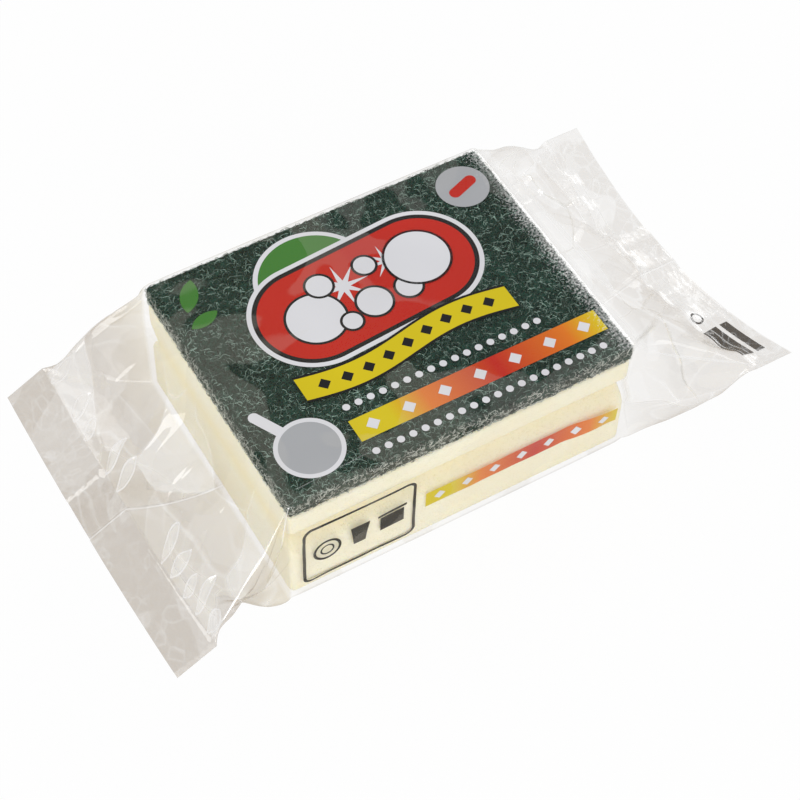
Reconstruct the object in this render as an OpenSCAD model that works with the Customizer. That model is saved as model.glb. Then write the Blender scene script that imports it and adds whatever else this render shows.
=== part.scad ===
// Cleaning sponge in its clear flow-wrap film
// Foam block with a finger grip along both long sides, a scouring pad bonded on top,
// and one printed web of film wrapped round both, sealed at both ends and along the underside.
// X runs along the pack, Y across it, Z up from the surface it lies on.

/* [Sponge] */
// Length of the foam and of the pad
sponge_l = 100; // [70:1:150]
// Width of the foam and of the pad
sponge_w = 78; // [60:1:110]
// Height of the foam under the pad
foam_h = 35; // [28:0.5:60]
// Thickness of the scouring pad
pad_t = 5.5; // [3:0.5:12]
// Rounding of the upright edges
corner_r = 1.6; // [0.4:0.2:8]
// Rounding of the foam's two long lower edges
heel_r = 2; // [0.5:0.5:6]

/* [Finger grip] */
// Height of the middle of the grip groove above the foam's underside
grip_z = 23.5; // [14:0.5:26]
// Half the height of the groove's mouth
grip_half = 6; // [3:0.5:10]
// Depth of the groove
grip_depth = 5; // [1:0.5:12]

/* [Film] */
// Thickness of the film as modelled
film_t = 0.2; // [0.1:0.05:0.4]
// Air between the film and what it is wrapped round
film_gap = 0.3; // [0.2:0.1:1]
// Hairline between film layers that are sealed together
seal_gap = 0.15; // [0.1:0.05:0.3]
// Width of the fin where the two long edges of the web are sealed and folded flat
fin_w = 11; // [6:1:16]

/* [End seals] */
// Width of the crimped strip at each end
seal_w = 11; // [6:1:16]
// Reach of the film past the left end of the sponge, strip included
left_reach = 38; // [30:1:60]
// Reach of the film past the right end of the sponge, strip included
right_reach = 44; // [30:1:60]
// Share of the web's width taken up by gathers in the end seals
gather_share = 0.15; // [0.05:0.01:0.25]
// Number of gathers along the left seal, an even number
gathers = 16; // [12:2:18]
// Height of a gather from hollow to crest
gather_h = 1.4; // [0.4:0.1:1.5]
// Height of the crumples along the right seal
crumple_h = 3.4; // [1:0.2:4]
// Depth of the two crimp lines pressed into each strip
crimp_h = 0.3; // [0.1:0.1:0.6]
// Height of the middle of the left seal
left_mid_z = 3; // [2.5:0.5:12]
// Rise of the left seal towards its front corner
left_front_rise = 8; // [0:1:15]
// Rise of the left seal towards its back corner
left_back_rise = 1; // [0:1:15]
// How much higher the left strip's inner edge lies than its outer edge
left_strip_rise = 6; // [0:0.5:8]
// Height of the middle of the right seal
right_mid_z = 9; // [4:0.5:20]
// Rise of the right seal towards its front corner
right_front_rise = 16; // [0:1:20]
// Rise of the right seal towards its back corner
right_back_rise = 7; // [0:1:20]
// Share of its width by which the base panel draws in halfway to a seal
base_tuck = 0.16; // [0:0.02:0.2]
// Swell of the left sloping panel, which shut-in air pushes out
left_swell = 2.5; // [0:0.5:4]
// Swell of the right sloping panel
right_swell = 0.5; // [0:0.5:4]

/* [Print] */
// Thickness of one ink layer as modelled
ink_t = 0.08; // [0.04:0.02:0.2]
// Clear margin between the print and the edges of its panel
print_margin = 3; // [1:0.5:5]
// Clear air between one printed block and the next
print_gap = 3; // [1:0.5:4]
// Width of an outline in black
ink_line = 0.7; // [0.3:0.1:1]
// Length of the panel left at each end of the badge for the small signs
sign_room = 16; // [12:0.5:20]
// Width of each outline round the badge
badge_line = 1.3; // [0.6:0.1:2]
// Turn of the badge on the panel, in degrees
badge_turn = 4; // [0:1:6]
// How far the green sun stands up behind the badge
sun_rise = 8; // [4:0.5:10]
// Radius of the green sun
sun_r = 15; // [10:1:16]
// Width of the yellow ribbon
ribbon_w = 8; // [4:0.5:9]
// Rise and fall of the ribbon's wave
ribbon_wave = 2; // [0:0.5:3]
// Length of each leaf
leaf_l = 11; // [6:0.5:12]
// Radius of the pan
pan_r = 9; // [5:0.5:9]
// Width of the pan's rim
pan_rim = 1.2; // [0.6:0.1:2]
// Length of the pan's handle
handle_l = 9; // [5:0.5:10]
// Width of the pan's handle
handle_w = 3; // [2:0.5:4]
// Height of the banded stripe on the top panel
stripe_h = 7; // [4:0.5:8]
// Radius of the white beads over and under the stripe
bead_r = 1; // [0.6:0.1:1.2]
// Distance from one bead to the next
bead_step = 3.5; // [2.5:0.5:6]
// Height of the banded stripe on the front panel
side_stripe_h = 6; // [3:0.5:7]
// Height of the outlined frame on the front panel
frame_h = 24; // [14:1:25]
// Length of the outlined frame on the front panel
frame_l = 33; // [20:1:34]
// Rounding of the frame's corners
frame_r = 3; // [1.5:0.5:6]
// Width of the frame's line
frame_line = 0.9; // [0.5:0.1:1.5]

/* [Hidden] */
$fn = 48;

// One sealed layer after another
layer = film_t + seal_gap;
// The sponge lies on the base panel, which here lies on the folded fin
rest_z = 2 * layer + film_t + film_gap;
pad_z = rest_z + foam_h;
sponge_top = pad_z + pad_t;
// The middle of the film's thickness round the sponge
wrap_x = sponge_l / 2 + film_gap;
wrap_y = sponge_w / 2 + film_gap + film_t / 2;
wrap_top = sponge_top + film_gap + film_t / 2;
wrap_bot = film_t / 2;
film_top = wrap_top + film_t / 2;
film_front = wrap_y + film_t / 2;
// Half the seal's length: the web laid flat, less what the gathers take up
seal_half = (wrap_y + (wrap_top - wrap_bot) / 2) * (1 - gather_share);

// Foam and pad

module rounded_plan(l, w, r) {
    square([l - 2 * r, w], center = true);
    square([l, w - 2 * r], center = true);
    for (sx = [-1, 1], sy = [-1, 1])
        translate([sx * (l / 2 - r), sy * (w / 2 - r)])
            circle(r);
}

// How far the side of the foam draws in at height z
function grip_in(z) =
    abs(z - grip_z) < grip_half ? grip_depth * (1 + cos(180 * (z - grip_z) / grip_half)) / 2 : 0;
function heel_in(z) = z < heel_r ? heel_r - sqrt(heel_r * heel_r - pow(heel_r - z, 2)) : 0;

side_heights = concat(
    [for (i = [0:5]) heel_r * (1 - cos(90 * i / 5))],
    [for (i = [0:16]) grip_z + grip_half * (i / 8 - 1)],
    [foam_h]);

// The foam's end view: flat top and base, a smooth groove in both sides
module foam_profile() {
    polygon(concat(
        [for (z = side_heights) [sponge_w / 2 - grip_in(z) - heel_in(z), z]],
        [for (i = [len(side_heights) - 1:-1:0])
            let (z = side_heights[i]) [-sponge_w / 2 + grip_in(z) + heel_in(z), z]]));
}

module foam_block() {
    color([0.93, 0.91, 0.8])
        translate([0, 0, rest_z])
            intersection() {
                linear_extrude(foam_h)
                    rounded_plan(sponge_l, sponge_w, corner_r);
                translate([-sponge_l / 2, 0, 0])
                    rotate([90, 0, 90])
                        linear_extrude(sponge_l)
                            foam_profile();
            }
}

module scouring_pad() {
    color([0.09, 0.24, 0.17])
        translate([0, 0, pad_z])
            linear_extrude(pad_t)
                rounded_plan(sponge_l, sponge_w, corner_r);
}

// Film: one web, from the inner fin layer, back along the base, up, over, down
// and forward to the outer fin layer. A column is [kind, k], with k counted from the middle.

gather_cols = 3;
half_cols = gather_cols * gathers / 2;
fin_cols = 5;
INNER = "inner fin layer";
TURN = "turn of the web at the fin's root";
BACK = "back half of the base";
BACK_SIDE = "back side";
TOP = "top";
FRONT_SIDE = "front side";
BASE = "front half of the base and the outer fin layer";

columns = concat(
    [for (k = [fin_cols:-1:0]) [INNER, k]],
    [[TURN, 0]],
    [for (k = [0:half_cols]) [BACK, k]],
    [for (k = [-1:1]) [BACK_SIDE, k]],
    [for (k = [half_cols:-1:-half_cols]) [TOP, k]],
    [for (k = [1:-1:-1]) [FRONT_SIDE, k]],
    [for (k = [-half_cols:fin_cols]) [BASE, k]]);

function is_side(kind) = kind == BACK_SIDE || kind == FRONT_SIDE;
function facing(kind) = kind == BACK_SIDE ? 1 : -1;

// Distance from the middle: even steps over the fin, even steps from there to the edge
function across(k, half) =
    abs(k) <= fin_cols ? fin_w * k / fin_cols
    : sign(k) * (fin_w + (half - fin_w) * (abs(k) - fin_cols) / (half_cols - fin_cols));

// Layers that lie under the upper sheet where it crosses the fin
function lift(k) =
    k < -2 || k > fin_cols + 3 ? 0
    : k == -2 || k == fin_cols + 3 ? 1
    : 2;

function level(kind, k) =
    kind == INNER ? 1
    : kind == TURN ? 1.5
    : kind == BACK ? lift(k)
    : 0;

// The film round the sponge, as [y, z]; its corners are cut by the air gap
function wrap_point(c) =
    let (kind = c[0], k = c[1], half = wrap_y - film_gap)
    kind == TURN ? [-layer / 2, wrap_bot + 1.5 * layer]
    : kind == TOP ? [across(k, half), wrap_top]
    : is_side(kind) ? [facing(kind) * wrap_y,
        (wrap_top + wrap_bot) / 2 + k * ((wrap_top - wrap_bot) / 2 - film_gap)]
    : [across(k, half), wrap_bot + level(kind, k) * layer];

// The height of a seal's line at y, from its middle, back and front heights
function seal_z(y, mid, back, front) =
    let (r = y / seal_half)
    mid + (back - front) / 2 * r + (back + front) / 2 * r * r;

// Share of the hairpin's width that its two outer points span
hairpin_arc = 0.86;

// The flat seal, as [y, z]: the edges turn over in a hairpin
function seal_point(c, mid, back, front) =
    let (
        kind = c[0],
        k = c[1],
        half = seal_half - 2 * layer,
        y = kind == TURN ? -layer / 2
            : is_side(kind) ? facing(kind) * (seal_half - (k == 0 ? 0 : layer / 4))
            : across(k, half),
        up = kind == TOP ? 1 + lift(k) : is_side(kind) ? (1 + hairpin_arc * k) / 2 : level(kind, k))
    [y, seal_z(y, mid, back, front) + up * layer];

// Waves that make the gathers uneven, and waves that make the crumples: [share, number, start angle]
uneven_waves = [[0.95, 0, 90], [0.35, 3.7, 57], [0.25, 6.1, 90]];
crumple_waves = [[0.6, 4, 0], [0.4, 9, 0]];
function summed(waves, turn, i = 0) =
    i == len(waves) ? 0
    : waves[i][0] * sin(waves[i][1] * turn + waves[i][2]) + summed(waves, turn, i + 1);

// Ripple across the web: close gathers at the left, broad crumples at the right
function ripple(c, left) =
    let (turn = 180 * c[1] / half_cols)
    is_side(c[0]) || c[0] == TURN ? 0
    : left ? gather_h / 2 * sin(gathers * turn) * summed(uneven_waves, turn)
    : crumple_h / 2 * summed(crumple_waves, turn);

// Swell of a sloping panel, none at its edges
function swell(c, s, height) =
    c[0] == TOP ? height * 4 * s * (1 - s) * (1 - pow(c[1] / half_cols, 2)) : 0;

// Share of its width that the web keeps at s: the base draws in, and the side panels lean with it
function kept_width(c, s) =
    let (share = c[0] == TOP ? 0 : is_side(c[0]) ? (1 - c[1]) / 2 : 1)
    1 - base_tuck * share * 4 * s * (1 - s);

// Share of a ripple that is left: it grows towards the seal and dies out on the strip
strip_fade = 2.2;
function ripple_share(s, strip) =
    let (rest = max(0, 1 - strip_fade * strip))
    pow(s, 3) * rest * rest * (3 - 2 * rest);

// One ring of the web past an end of the sponge: s runs 0 to 1 from the sponge to the strip,
// and strip runs 0 to 1 across the strip
function end_ring(left, s, strip) =
    let (
        reach = left ? left_reach : right_reach,
        x = wrap_x + s * (reach - film_gap - seal_w) + strip * seal_w,
        mid = left ? left_mid_z + left_strip_rise * (1 - strip) : right_mid_z,
        back = left ? left_back_rise : right_back_rise,
        front = left ? left_front_rise : right_front_rise,
        height = left ? left_swell : right_swell,
        share = ripple_share(s, strip),
        crimp = strip > 0 && strip < 1 ? crimp_h * (strip > 0.5 ? 1 : -1) : 0)
    [for (c = columns)
        let (
            p = wrap_point(c) * (1 - s) + seal_point(c, mid, back, front) * s,
            z = p[1] + swell(c, s, height) + ripple(c, left) * share + crimp)
        [(left ? -1 : 1) * x, p[0] * kept_width(c, s), z]];

function wrap_ring(x) = [for (c = columns) let (p = wrap_point(c)) [x, p[0], p[1]]];

slope_steps = [0, 0.25, 0.55, 0.8, 1];
strip_steps = [1 / 3, 2 / 3, 1];
rings = concat(
    [for (i = [len(strip_steps) - 1:-1:0]) end_ring(true, 1, strip_steps[i])],
    [for (i = [len(slope_steps) - 1:-1:0]) end_ring(true, slope_steps[i], 0)],
    [wrap_ring(0)],
    [for (s = slope_steps) end_ring(false, s, 0)],
    [for (t = strip_steps) end_ring(false, 1, t)]);

last_ring = len(rings) - 1;
last_col = len(columns) - 1;

function unit(v) = v / norm(v);
function step_dir(i, j) = j < 0 || j >= last_col ? [0, 0, 0] : unit(rings[i][j + 1] - rings[i][j]);

// Outward normal of the web at ring i and column j
function web_normal(i, j) =
    unit(cross(
        step_dir(i, j - 1) + step_dir(i, j),
        rings[min(i + 1, last_ring)][j] - rings[max(i - 1, 0)][j]));

// Points of the web's outer skin (side 1) or inner skin (side -1)
function skin(side) =
    [for (i = [0:last_ring], j = [0:last_col]) rings[i][j] + side * film_t / 2 * web_normal(i, j)];

function quad(a, b, c, d) = [[a, b, c], [a, c, d]];

module film_wrapper() {
    row = last_col + 1;
    in = row * (last_ring + 1);
    skins = [for (i = [0:last_ring - 1], j = [0:last_col - 1])
        let (a = i * row + j)
        each concat(
            quad(a, a + row, a + row + 1, a + 1),
            quad(in + a, in + a + 1, in + a + row + 1, in + a + row))];
    long_rims = [for (i = [0:last_ring - 1])
        let (a = i * row, b = a + last_col)
        each concat(
            quad(a + row, a, in + a, in + a + row),
            quad(b, b + row, in + b + row, in + b))];
    end_rims = [for (j = [0:last_col - 1])
        let (a = j, b = last_ring * row + j)
        each concat(
            quad(a, a + 1, in + a + 1, in + a),
            quad(b + 1, b, in + b, in + b + 1))];
    color([0.85, 0.86, 0.86, 0.35])
        polyhedron(points = concat(skin(1), skin(-1)), faces = concat(skins, long_rims, end_rims));
}

// Print: fields of ink side by side on the outside of the film

panel_x = sponge_l / 2 - print_margin;
panel_y = sponge_w / 2 - print_margin;
// From the front: beads, stripe, beads, then the ribbon, the badge and the sun above it
bead_front_y = -panel_y + bead_r;
stripe_y = bead_front_y + bead_r + print_gap + stripe_h / 2;
bead_back_y = stripe_y + stripe_h / 2 + print_gap + bead_r;
ribbon_y = bead_back_y + bead_r + print_gap + ribbon_wave + ribbon_w / 2;
badge_low = ribbon_y + ribbon_w / 2;
badge_l = 2 * (panel_x - sign_room);
badge_h = panel_y - sun_rise - badge_low - 4 * badge_line;
badge_at = [0, badge_low + 2 * badge_line + badge_h / 2];
ribbon_l = badge_l;
sun_at = [-badge_l / 6, panel_y - sun_r - badge_line];
// The small signs stand in the room at the badge's ends
token_r = sign_room / 2 - ink_line;
token_at = [panel_x - token_r, panel_y - token_r];
token_bar_l = token_r * 1.3;
token_bar_w = token_r * 0.45;
leaf_at = [-panel_x + leaf_l / 2, panel_y - leaf_l / 2];
pan_at = [-panel_x + pan_r + ink_line, -panel_y + pan_r + ink_line];
stripe_colours = ["yellow", "orange", "red", "red", "red", "orange", "yellow"];
stripe_x = pan_at[0] + pan_r + print_gap;
stripe_step = (panel_x - stripe_x) / len(stripe_colours);
bead_count = floor(stripe_step * len(stripe_colours) / bead_step);
bead_rows = [[bead_front_y, bead_count], [bead_back_y, bead_count - 3]];
frame_at = [-panel_x + frame_l / 2, rest_z + print_margin + frame_h / 2];
side_stripe_x = frame_at[0] + frame_l / 2 + print_gap;
side_stripe_z = frame_at[1];
side_stripe_step = (panel_x - side_stripe_x) / len(stripe_colours);

module print_top() {
    translate([0, 0, film_top])
        linear_extrude(ink_t)
            children();
}

module print_front() {
    translate([0, -film_front, 0])
        rotate([90, 0, 0])
            linear_extrude(ink_t)
                children();
}

module pill(l, h) {
    square([l - h, h], center = true);
    for (s = [-1, 1])
        translate([s * (l - h) / 2, 0])
            circle(h / 2);
}

module badge(lines) {
    translate(badge_at)
        rotate(badge_turn)
            pill(badge_l + 2 * lines * badge_line, badge_h + 2 * lines * badge_line);
}

// Bubbles on the badge: [along, as a share of its straight part; up and radius, as shares of its height]
bubbles = [
    [-1, -0.06, 0.27],
    [-0.62, 0.24, 0.12],
    [-0.56, -0.26, 0.09],
    [-0.06, -0.18, 0.16],
    [0.2, 0.22, 0.1],
    [0.56, -0.2, 0.12],
    [1, 0.04, 0.3]];
// Sparkles on the badge, in the same way
sparkles = [[-0.3, 0.12, 0.26], [0.54, 0.16, 0.2]];
badge_straight = (badge_l - badge_h) / 2;

module badge_bubbles(line) {
    translate(badge_at)
        rotate(badge_turn)
            for (b = bubbles)
                translate([b[0] * badge_straight, b[1] * badge_h])
                    circle(b[2] * badge_h + line);
}

module badge_sparkles() {
    translate(badge_at)
        rotate(badge_turn)
            for (b = sparkles)
                translate([b[0] * badge_straight, b[1] * badge_h])
                    polygon([for (i = [0:7])
                        let (r = b[2] * badge_h * (i % 2 == 0 ? 1 : 0.25))
                        [r * sin(45 * i), r * cos(45 * i)]]);
}

// The sun stands up behind the badge and shows only over its middle line
module sun(lines) {
    intersection() {
        translate(sun_at)
            circle(sun_r + lines * badge_line);
        translate([sun_at[0], badge_at[1] + 2 * sun_r])
            square(4 * sun_r, center = true);
    }
}

function wave(x) = ribbon_wave * sin(360 * x / ribbon_l);

module ribbon(edge) {
    steps = 24;
    xs = [for (i = [0:steps]) (i / steps - 0.5) * (ribbon_l + 2 * edge)];
    polygon(concat(
        [for (x = xs) [x, ribbon_y + wave(x) - ribbon_w / 2 - edge]],
        [for (i = [steps:-1:0]) [xs[i], ribbon_y + wave(xs[i]) + ribbon_w / 2 + edge]]));
}

module ribbon_marks() {
    for (i = [-4:4])
        let (x = i * ribbon_l / 10)
        translate([x, ribbon_y + wave(x)])
            rotate(45)
                square(ribbon_w * 0.32, center = true);
}

module leaf(l) {
    intersection() {
        translate([0, l * 0.45])
            circle(l * 0.67);
        translate([0, -l * 0.45])
            circle(l * 0.67);
    }
}

module leaves(l) {
    translate(leaf_at) {
        rotate(60)
            leaf(l);
        translate([0, -l * 0.8])
            rotate(15)
                leaf(l * 0.8);
    }
}

module pan(r) {
    translate(pan_at)
        circle(r);
}

module pan_handle() {
    translate(pan_at)
        rotate(118)
            translate([pan_r + handle_l / 2 - handle_w / 2, 0])
                pill(handle_l + handle_w, handle_w);
}

module stripe(colour, step, h) {
    for (i = [0:len(stripe_colours) - 1])
        if (stripe_colours[i] == colour)
            translate([i * step, -h / 2])
                square([step, h]);
}

module stripe_marks(step, h) {
    for (i = [0:len(stripe_colours) - 1])
        translate([(i + 0.5) * step, 0])
            rotate(45)
                square(h * 0.4, center = true);
}

module top_stripe_place() {
    translate([stripe_x, stripe_y])
        children();
}

module side_stripe_place() {
    translate([side_stripe_x, side_stripe_z])
        children();
}

module beads() {
    for (r = bead_rows, i = [0:r[1] - 1])
        translate([stripe_x + bead_r + i * bead_step, r[0]])
            circle(bead_r);
}

module frame_plan(inset) {
    translate(frame_at)
        rounded_plan(frame_l - 2 * inset, frame_h - 2 * inset, frame_r - inset);
}

// Plain signs for a plate, a glass and a pot, in a row inside the frame
module frame_signs() {
    sign = frame_h / 4;
    translate(frame_at) {
        translate([-frame_l * 0.3, 0])
            difference() {
                circle(sign);
                circle(sign * 0.6);
            }
        polygon([[-sign * 0.5, -sign], [sign * 0.5, -sign], [sign * 0.75, sign], [-sign * 0.75, sign]]);
        translate([frame_l * 0.3, -sign * 0.1]) {
            square([sign * 1.5, sign * 1.5], center = true);
            translate([0, sign * 0.95])
                square([sign * 1.9, sign * 0.25], center = true);
        }
    }
}

module print_black() {
    color([0.09, 0.09, 0.09]) {
        print_top() {
            difference() {
                badge(1);
                badge(0);
                ribbon(ink_line);
            }
            difference() {
                badge_bubbles(ink_line);
                badge_bubbles(0);
                badge_sparkles();
                ribbon(ink_line);
            }
            difference() {
                ribbon(ink_line);
                ribbon(0);
            }
            ribbon_marks();
        }
        print_front() {
            difference() {
                frame_plan(0);
                frame_plan(frame_line);
            }
            frame_signs();
        }
    }
}

module print_white() {
    color([0.94, 0.94, 0.94]) {
        print_top() {
            difference() {
                sun(1);
                sun(0);
                badge(2);
            }
            difference() {
                badge(2);
                badge(1);
                ribbon(ink_line);
            }
            difference() {
                badge_bubbles(0);
                ribbon(ink_line);
            }
            difference() {
                badge_sparkles();
                badge_bubbles(0);
                ribbon(ink_line);
            }
            difference() {
                pan(pan_r);
                pan(pan_r - pan_rim);
            }
            difference() {
                pan_handle();
                pan(pan_r);
            }
            top_stripe_place()
                stripe_marks(stripe_step, stripe_h);
            beads();
        }
        print_front()
            side_stripe_place()
                stripe_marks(side_stripe_step, side_stripe_h);
    }
}

module stripes(colour) {
    print_top()
        top_stripe_place()
            difference() {
                stripe(colour, stripe_step, stripe_h);
                stripe_marks(stripe_step, stripe_h);
            }
    print_front()
        side_stripe_place()
            difference() {
                stripe(colour, side_stripe_step, side_stripe_h);
                stripe_marks(side_stripe_step, side_stripe_h);
            }
}

module print_red() {
    color([0.78, 0.17, 0.12]) {
        print_top()
            difference() {
                badge(0);
                badge_bubbles(ink_line);
                badge_sparkles();
                ribbon(ink_line);
            }
        stripes("red");
        print_top()
            translate(token_at)
                rotate(20)
                    pill(token_bar_l, token_bar_w);
    }
}

module print_orange() {
    color([0.9, 0.45, 0.12])
        stripes("orange");
}

module print_yellow() {
    color([0.9, 0.82, 0.1]) {
        print_top()
            difference() {
                ribbon(0);
                ribbon_marks();
            }
        stripes("yellow");
    }
}

module print_green() {
    color([0.2, 0.55, 0.2])
        print_top() {
            difference() {
                sun(0);
                badge(2);
            }
            leaves(leaf_l);
        }
}

module print_grey() {
    color([0.72, 0.73, 0.76])
        print_top() {
            difference() {
                translate(token_at)
                    circle(token_r);
                translate(token_at)
                    rotate(20)
                        pill(token_bar_l, token_bar_w);
            }
            pan(pan_r - pan_rim);
        }
}

foam_block();
scouring_pad();
film_wrapper();
print_black();
print_white();
print_red();
print_orange();
print_yellow();
print_green();
print_grey();
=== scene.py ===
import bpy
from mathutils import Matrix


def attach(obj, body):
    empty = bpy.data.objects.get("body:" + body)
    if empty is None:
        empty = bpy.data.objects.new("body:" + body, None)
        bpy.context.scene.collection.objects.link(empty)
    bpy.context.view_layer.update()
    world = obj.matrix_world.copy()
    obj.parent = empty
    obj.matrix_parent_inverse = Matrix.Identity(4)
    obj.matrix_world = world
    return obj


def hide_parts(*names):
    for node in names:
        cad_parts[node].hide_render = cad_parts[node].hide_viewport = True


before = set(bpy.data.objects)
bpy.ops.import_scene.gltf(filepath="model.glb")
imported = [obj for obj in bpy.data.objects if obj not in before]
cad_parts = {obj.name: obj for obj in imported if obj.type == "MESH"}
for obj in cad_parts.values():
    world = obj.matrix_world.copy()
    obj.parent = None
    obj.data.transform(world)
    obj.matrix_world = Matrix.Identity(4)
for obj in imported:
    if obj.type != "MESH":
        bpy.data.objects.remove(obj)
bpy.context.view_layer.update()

import math

import bpy
import numpy as np
from bpy.props import FloatProperty, FloatVectorProperty, IntProperty, PointerProperty
from mathutils import Matrix, Vector

bl_info = {
    "name": "Wrapped cleaning sponge",
    "version": (1, 0, 0),
    "blender": (4, 5, 0),
    "location": "3D View > Sidebar > Sponge",
    "description": "A scouring sponge sealed in a printed clear film",
    "category": "Object",
}

MM = 0.001

# The sponge and its film as the part's source has them, in millimetres.
HALF_LENGTH = 50.0
HALF_WIDTH = 39.0
REST_Z = 1.2
GROOVE_Z = 23.5
GROOVE_HALF = 6
PAD_Z = 36.2
SPONGE_TOP = 41.7
MIDDLE_Z = 21.0
FILM_X = 50.3
FILM_Y = 39.4
FILM_TOP = 42.1
FILM_BOTTOM = 0.1
FILM_SIDE = FILM_TOP - FILM_BOTTOM
FILM_LAYER = 0.35
FILM_FOLD = 2 * FILM_Y + FILM_SIDE
FIN = 11.0
STRIP = 11.0
GATHER = 0.15
SEAL_HALF = (FILM_Y + FILM_SIDE / 2) * (1 - GATHER)
WEB_HALF = FILM_FOLD + FIN
# For each end: how far out it reaches, the seal's height at its middle, back and front,
# and how much higher the strip's inner edge lies.
ENDS = {-1: (88.0, 3.0, 1.0, 8.0, 6.0), 1: (94.0, 9.0, 7.0, 16.0, 0.0)}
# How far the base pulls in at the front of each end, and how far the slope swells.
BASE_TUCK = {-1: 0.2, 1: 0.0}
TOP_SWELL = {-1: 2.5, 1: 0.5}


# ---------------------------------------------------------------- meshes


def add_mesh(name, points, faces, materials=(), smooth=True):
    """A new mesh object in the scene, from points in metres."""
    mesh = bpy.data.meshes.new(name)
    mesh.from_pydata(np.asarray(points, float).tolist(), [], np.asarray(faces).tolist())
    for material in materials:
        mesh.materials.append(material)
    if smooth:
        mesh.shade_smooth()
    mesh.update()
    obj = bpy.data.objects.new(name, mesh)
    bpy.context.scene.collection.objects.link(obj)
    return obj


def grid_faces(rows, columns, first=0):
    """The four-sided faces of a grid of points, counted row by row from first."""
    index = first + np.arange(rows * columns).reshape(rows, columns)
    return np.stack(
        [index[:-1, :-1], index[1:, :-1], index[1:, 1:], index[:-1, 1:]], -1
    ).reshape(-1, 4)


def cell_noise(shape, cells, seed):
    """Smooth noise from -1 to 1 on a grid, from one random value a cell."""
    values = np.random.default_rng(seed).uniform(-1, 1, (cells[0] + 2, cells[1] + 2))
    a, b = np.linspace(0, cells[0], shape[0]), np.linspace(0, cells[1], shape[1])
    i, j = a.astype(int), b.astype(int)
    a, b = (a - i)[:, None], (b - j)[None]
    a, b = a * a * (3 - 2 * a), b * b * (3 - 2 * b)
    near = values[np.ix_(i, j)] * (1 - a) + values[np.ix_(i + 1, j)] * a
    far = values[np.ix_(i, j + 1)] * (1 - a) + values[np.ix_(i + 1, j + 1)] * a
    return near * (1 - b) + far * b


def rounded_block(low, high, radius, cell):
    """A box of even cells whose edges and corners are rounded: points and faces."""
    low, high = np.array(low, float), np.array(high, float)
    steps = [max(2, int(round(n))) for n in (high - low) / cell]
    keys, points, faces = {}, [], []

    def point(i):
        if i not in keys:
            keys[i] = len(points)
            points.append([low[k] + (high[k] - low[k]) * i[k] / steps[k] for k in range(3)])
        return keys[i]

    for axis in range(3):
        p, q = (axis + 1) % 3, (axis + 2) % 3
        for end in (0, steps[axis]):
            for a in range(steps[p]):
                for b in range(steps[q]):
                    face = []
                    for da, db in ((0, 0), (1, 0), (1, 1), (0, 1)):
                        i = [0, 0, 0]
                        i[axis], i[p], i[q] = end, a + da, b + db
                        face.append(point(tuple(i)))
                    faces.append(face if end else face[::-1])
    points = np.array(points)
    inner = np.clip(points, low + radius, high - radius)
    out = points - inner
    length = np.linalg.norm(out, axis=1, keepdims=True)
    return inner + out / np.maximum(length, 1e-9) * np.minimum(length, radius), faces


# ------------------------------------------------------------- materials


class Nodes:
    """Builds a node tree a few words at a time."""

    def __init__(self, tree):
        self.tree = tree

    def add(self, kind, inputs=None, **settings):
        node = self.tree.nodes.new(kind)
        for name, value in settings.items():
            setattr(node, name, value)
        for name, value in (inputs or {}).items():
            self.feed(node.inputs[name], value)
        return node

    def feed(self, socket, value):
        if isinstance(value, bpy.types.NodeSocket):
            self.tree.links.new(value, socket)
        else:
            socket.default_value = value

    def math(self, operation, a, b=0.0, clamp=False):
        node = self.add("ShaderNodeMath", operation=operation, use_clamp=clamp)
        self.feed(node.inputs[0], a)
        self.feed(node.inputs[1], b)
        return node.outputs[0]

    def vector(self, operation, a, b=(0.0, 0.0, 0.0)):
        node = self.add("ShaderNodeVectorMath", operation=operation)
        self.feed(node.inputs[0], a)
        self.feed(node.inputs[1], b)
        return node.outputs["Value" if operation in ("DOT_PRODUCT", "LENGTH") else "Vector"]

    def near(self, value, middle, half):
        """1 where value is middle, falling to 0 at half away from it."""
        off = self.math("ABSOLUTE", self.math("SUBTRACT", value, middle))
        return self.math("SUBTRACT", 1.0, self.math("DIVIDE", off, half), True)

    def mix(self, share, a, b):
        node = self.add("ShaderNodeMix", data_type="RGBA")
        self.feed(node.inputs["Factor"], share)
        for name, value in (("A", a), ("B", b)):
            socket = [s for s in node.inputs if s.name == name and s.type == "RGBA"][0]
            self.feed(socket, value)
        return [s for s in node.outputs if s.type == "RGBA"][0]

    def multiply(self, *values):
        product = values[0]
        for value in values[1:]:
            product = self.math("MULTIPLY", product, value)
        return product

    def grey(self, value, low, high, bottom=0.0, top=1.0):
        """bottom to top as value runs from low to high, and no further."""
        node = self.add(
            "ShaderNodeMapRange",
            {"Value": value, "From Min": low, "From Max": high, "To Min": bottom, "To Max": top},
        )
        return node.outputs["Result"]


def new_group(name, inputs, outputs):
    """An empty shader node group with float, colour or vector sockets."""
    group = bpy.data.node_groups.new(name, "ShaderNodeTree")
    for way, sockets in (("INPUT", inputs), ("OUTPUT", outputs)):
        for socket, kind, value in sockets:
            made = group.interface.new_socket(socket, in_out=way, socket_type="NodeSocket" + kind)
            if value is not None:
                made.default_value = value
    nodes = Nodes(group)
    return group, nodes, nodes.add("NodeGroupInput").outputs, nodes.add("NodeGroupOutput").inputs


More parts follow.
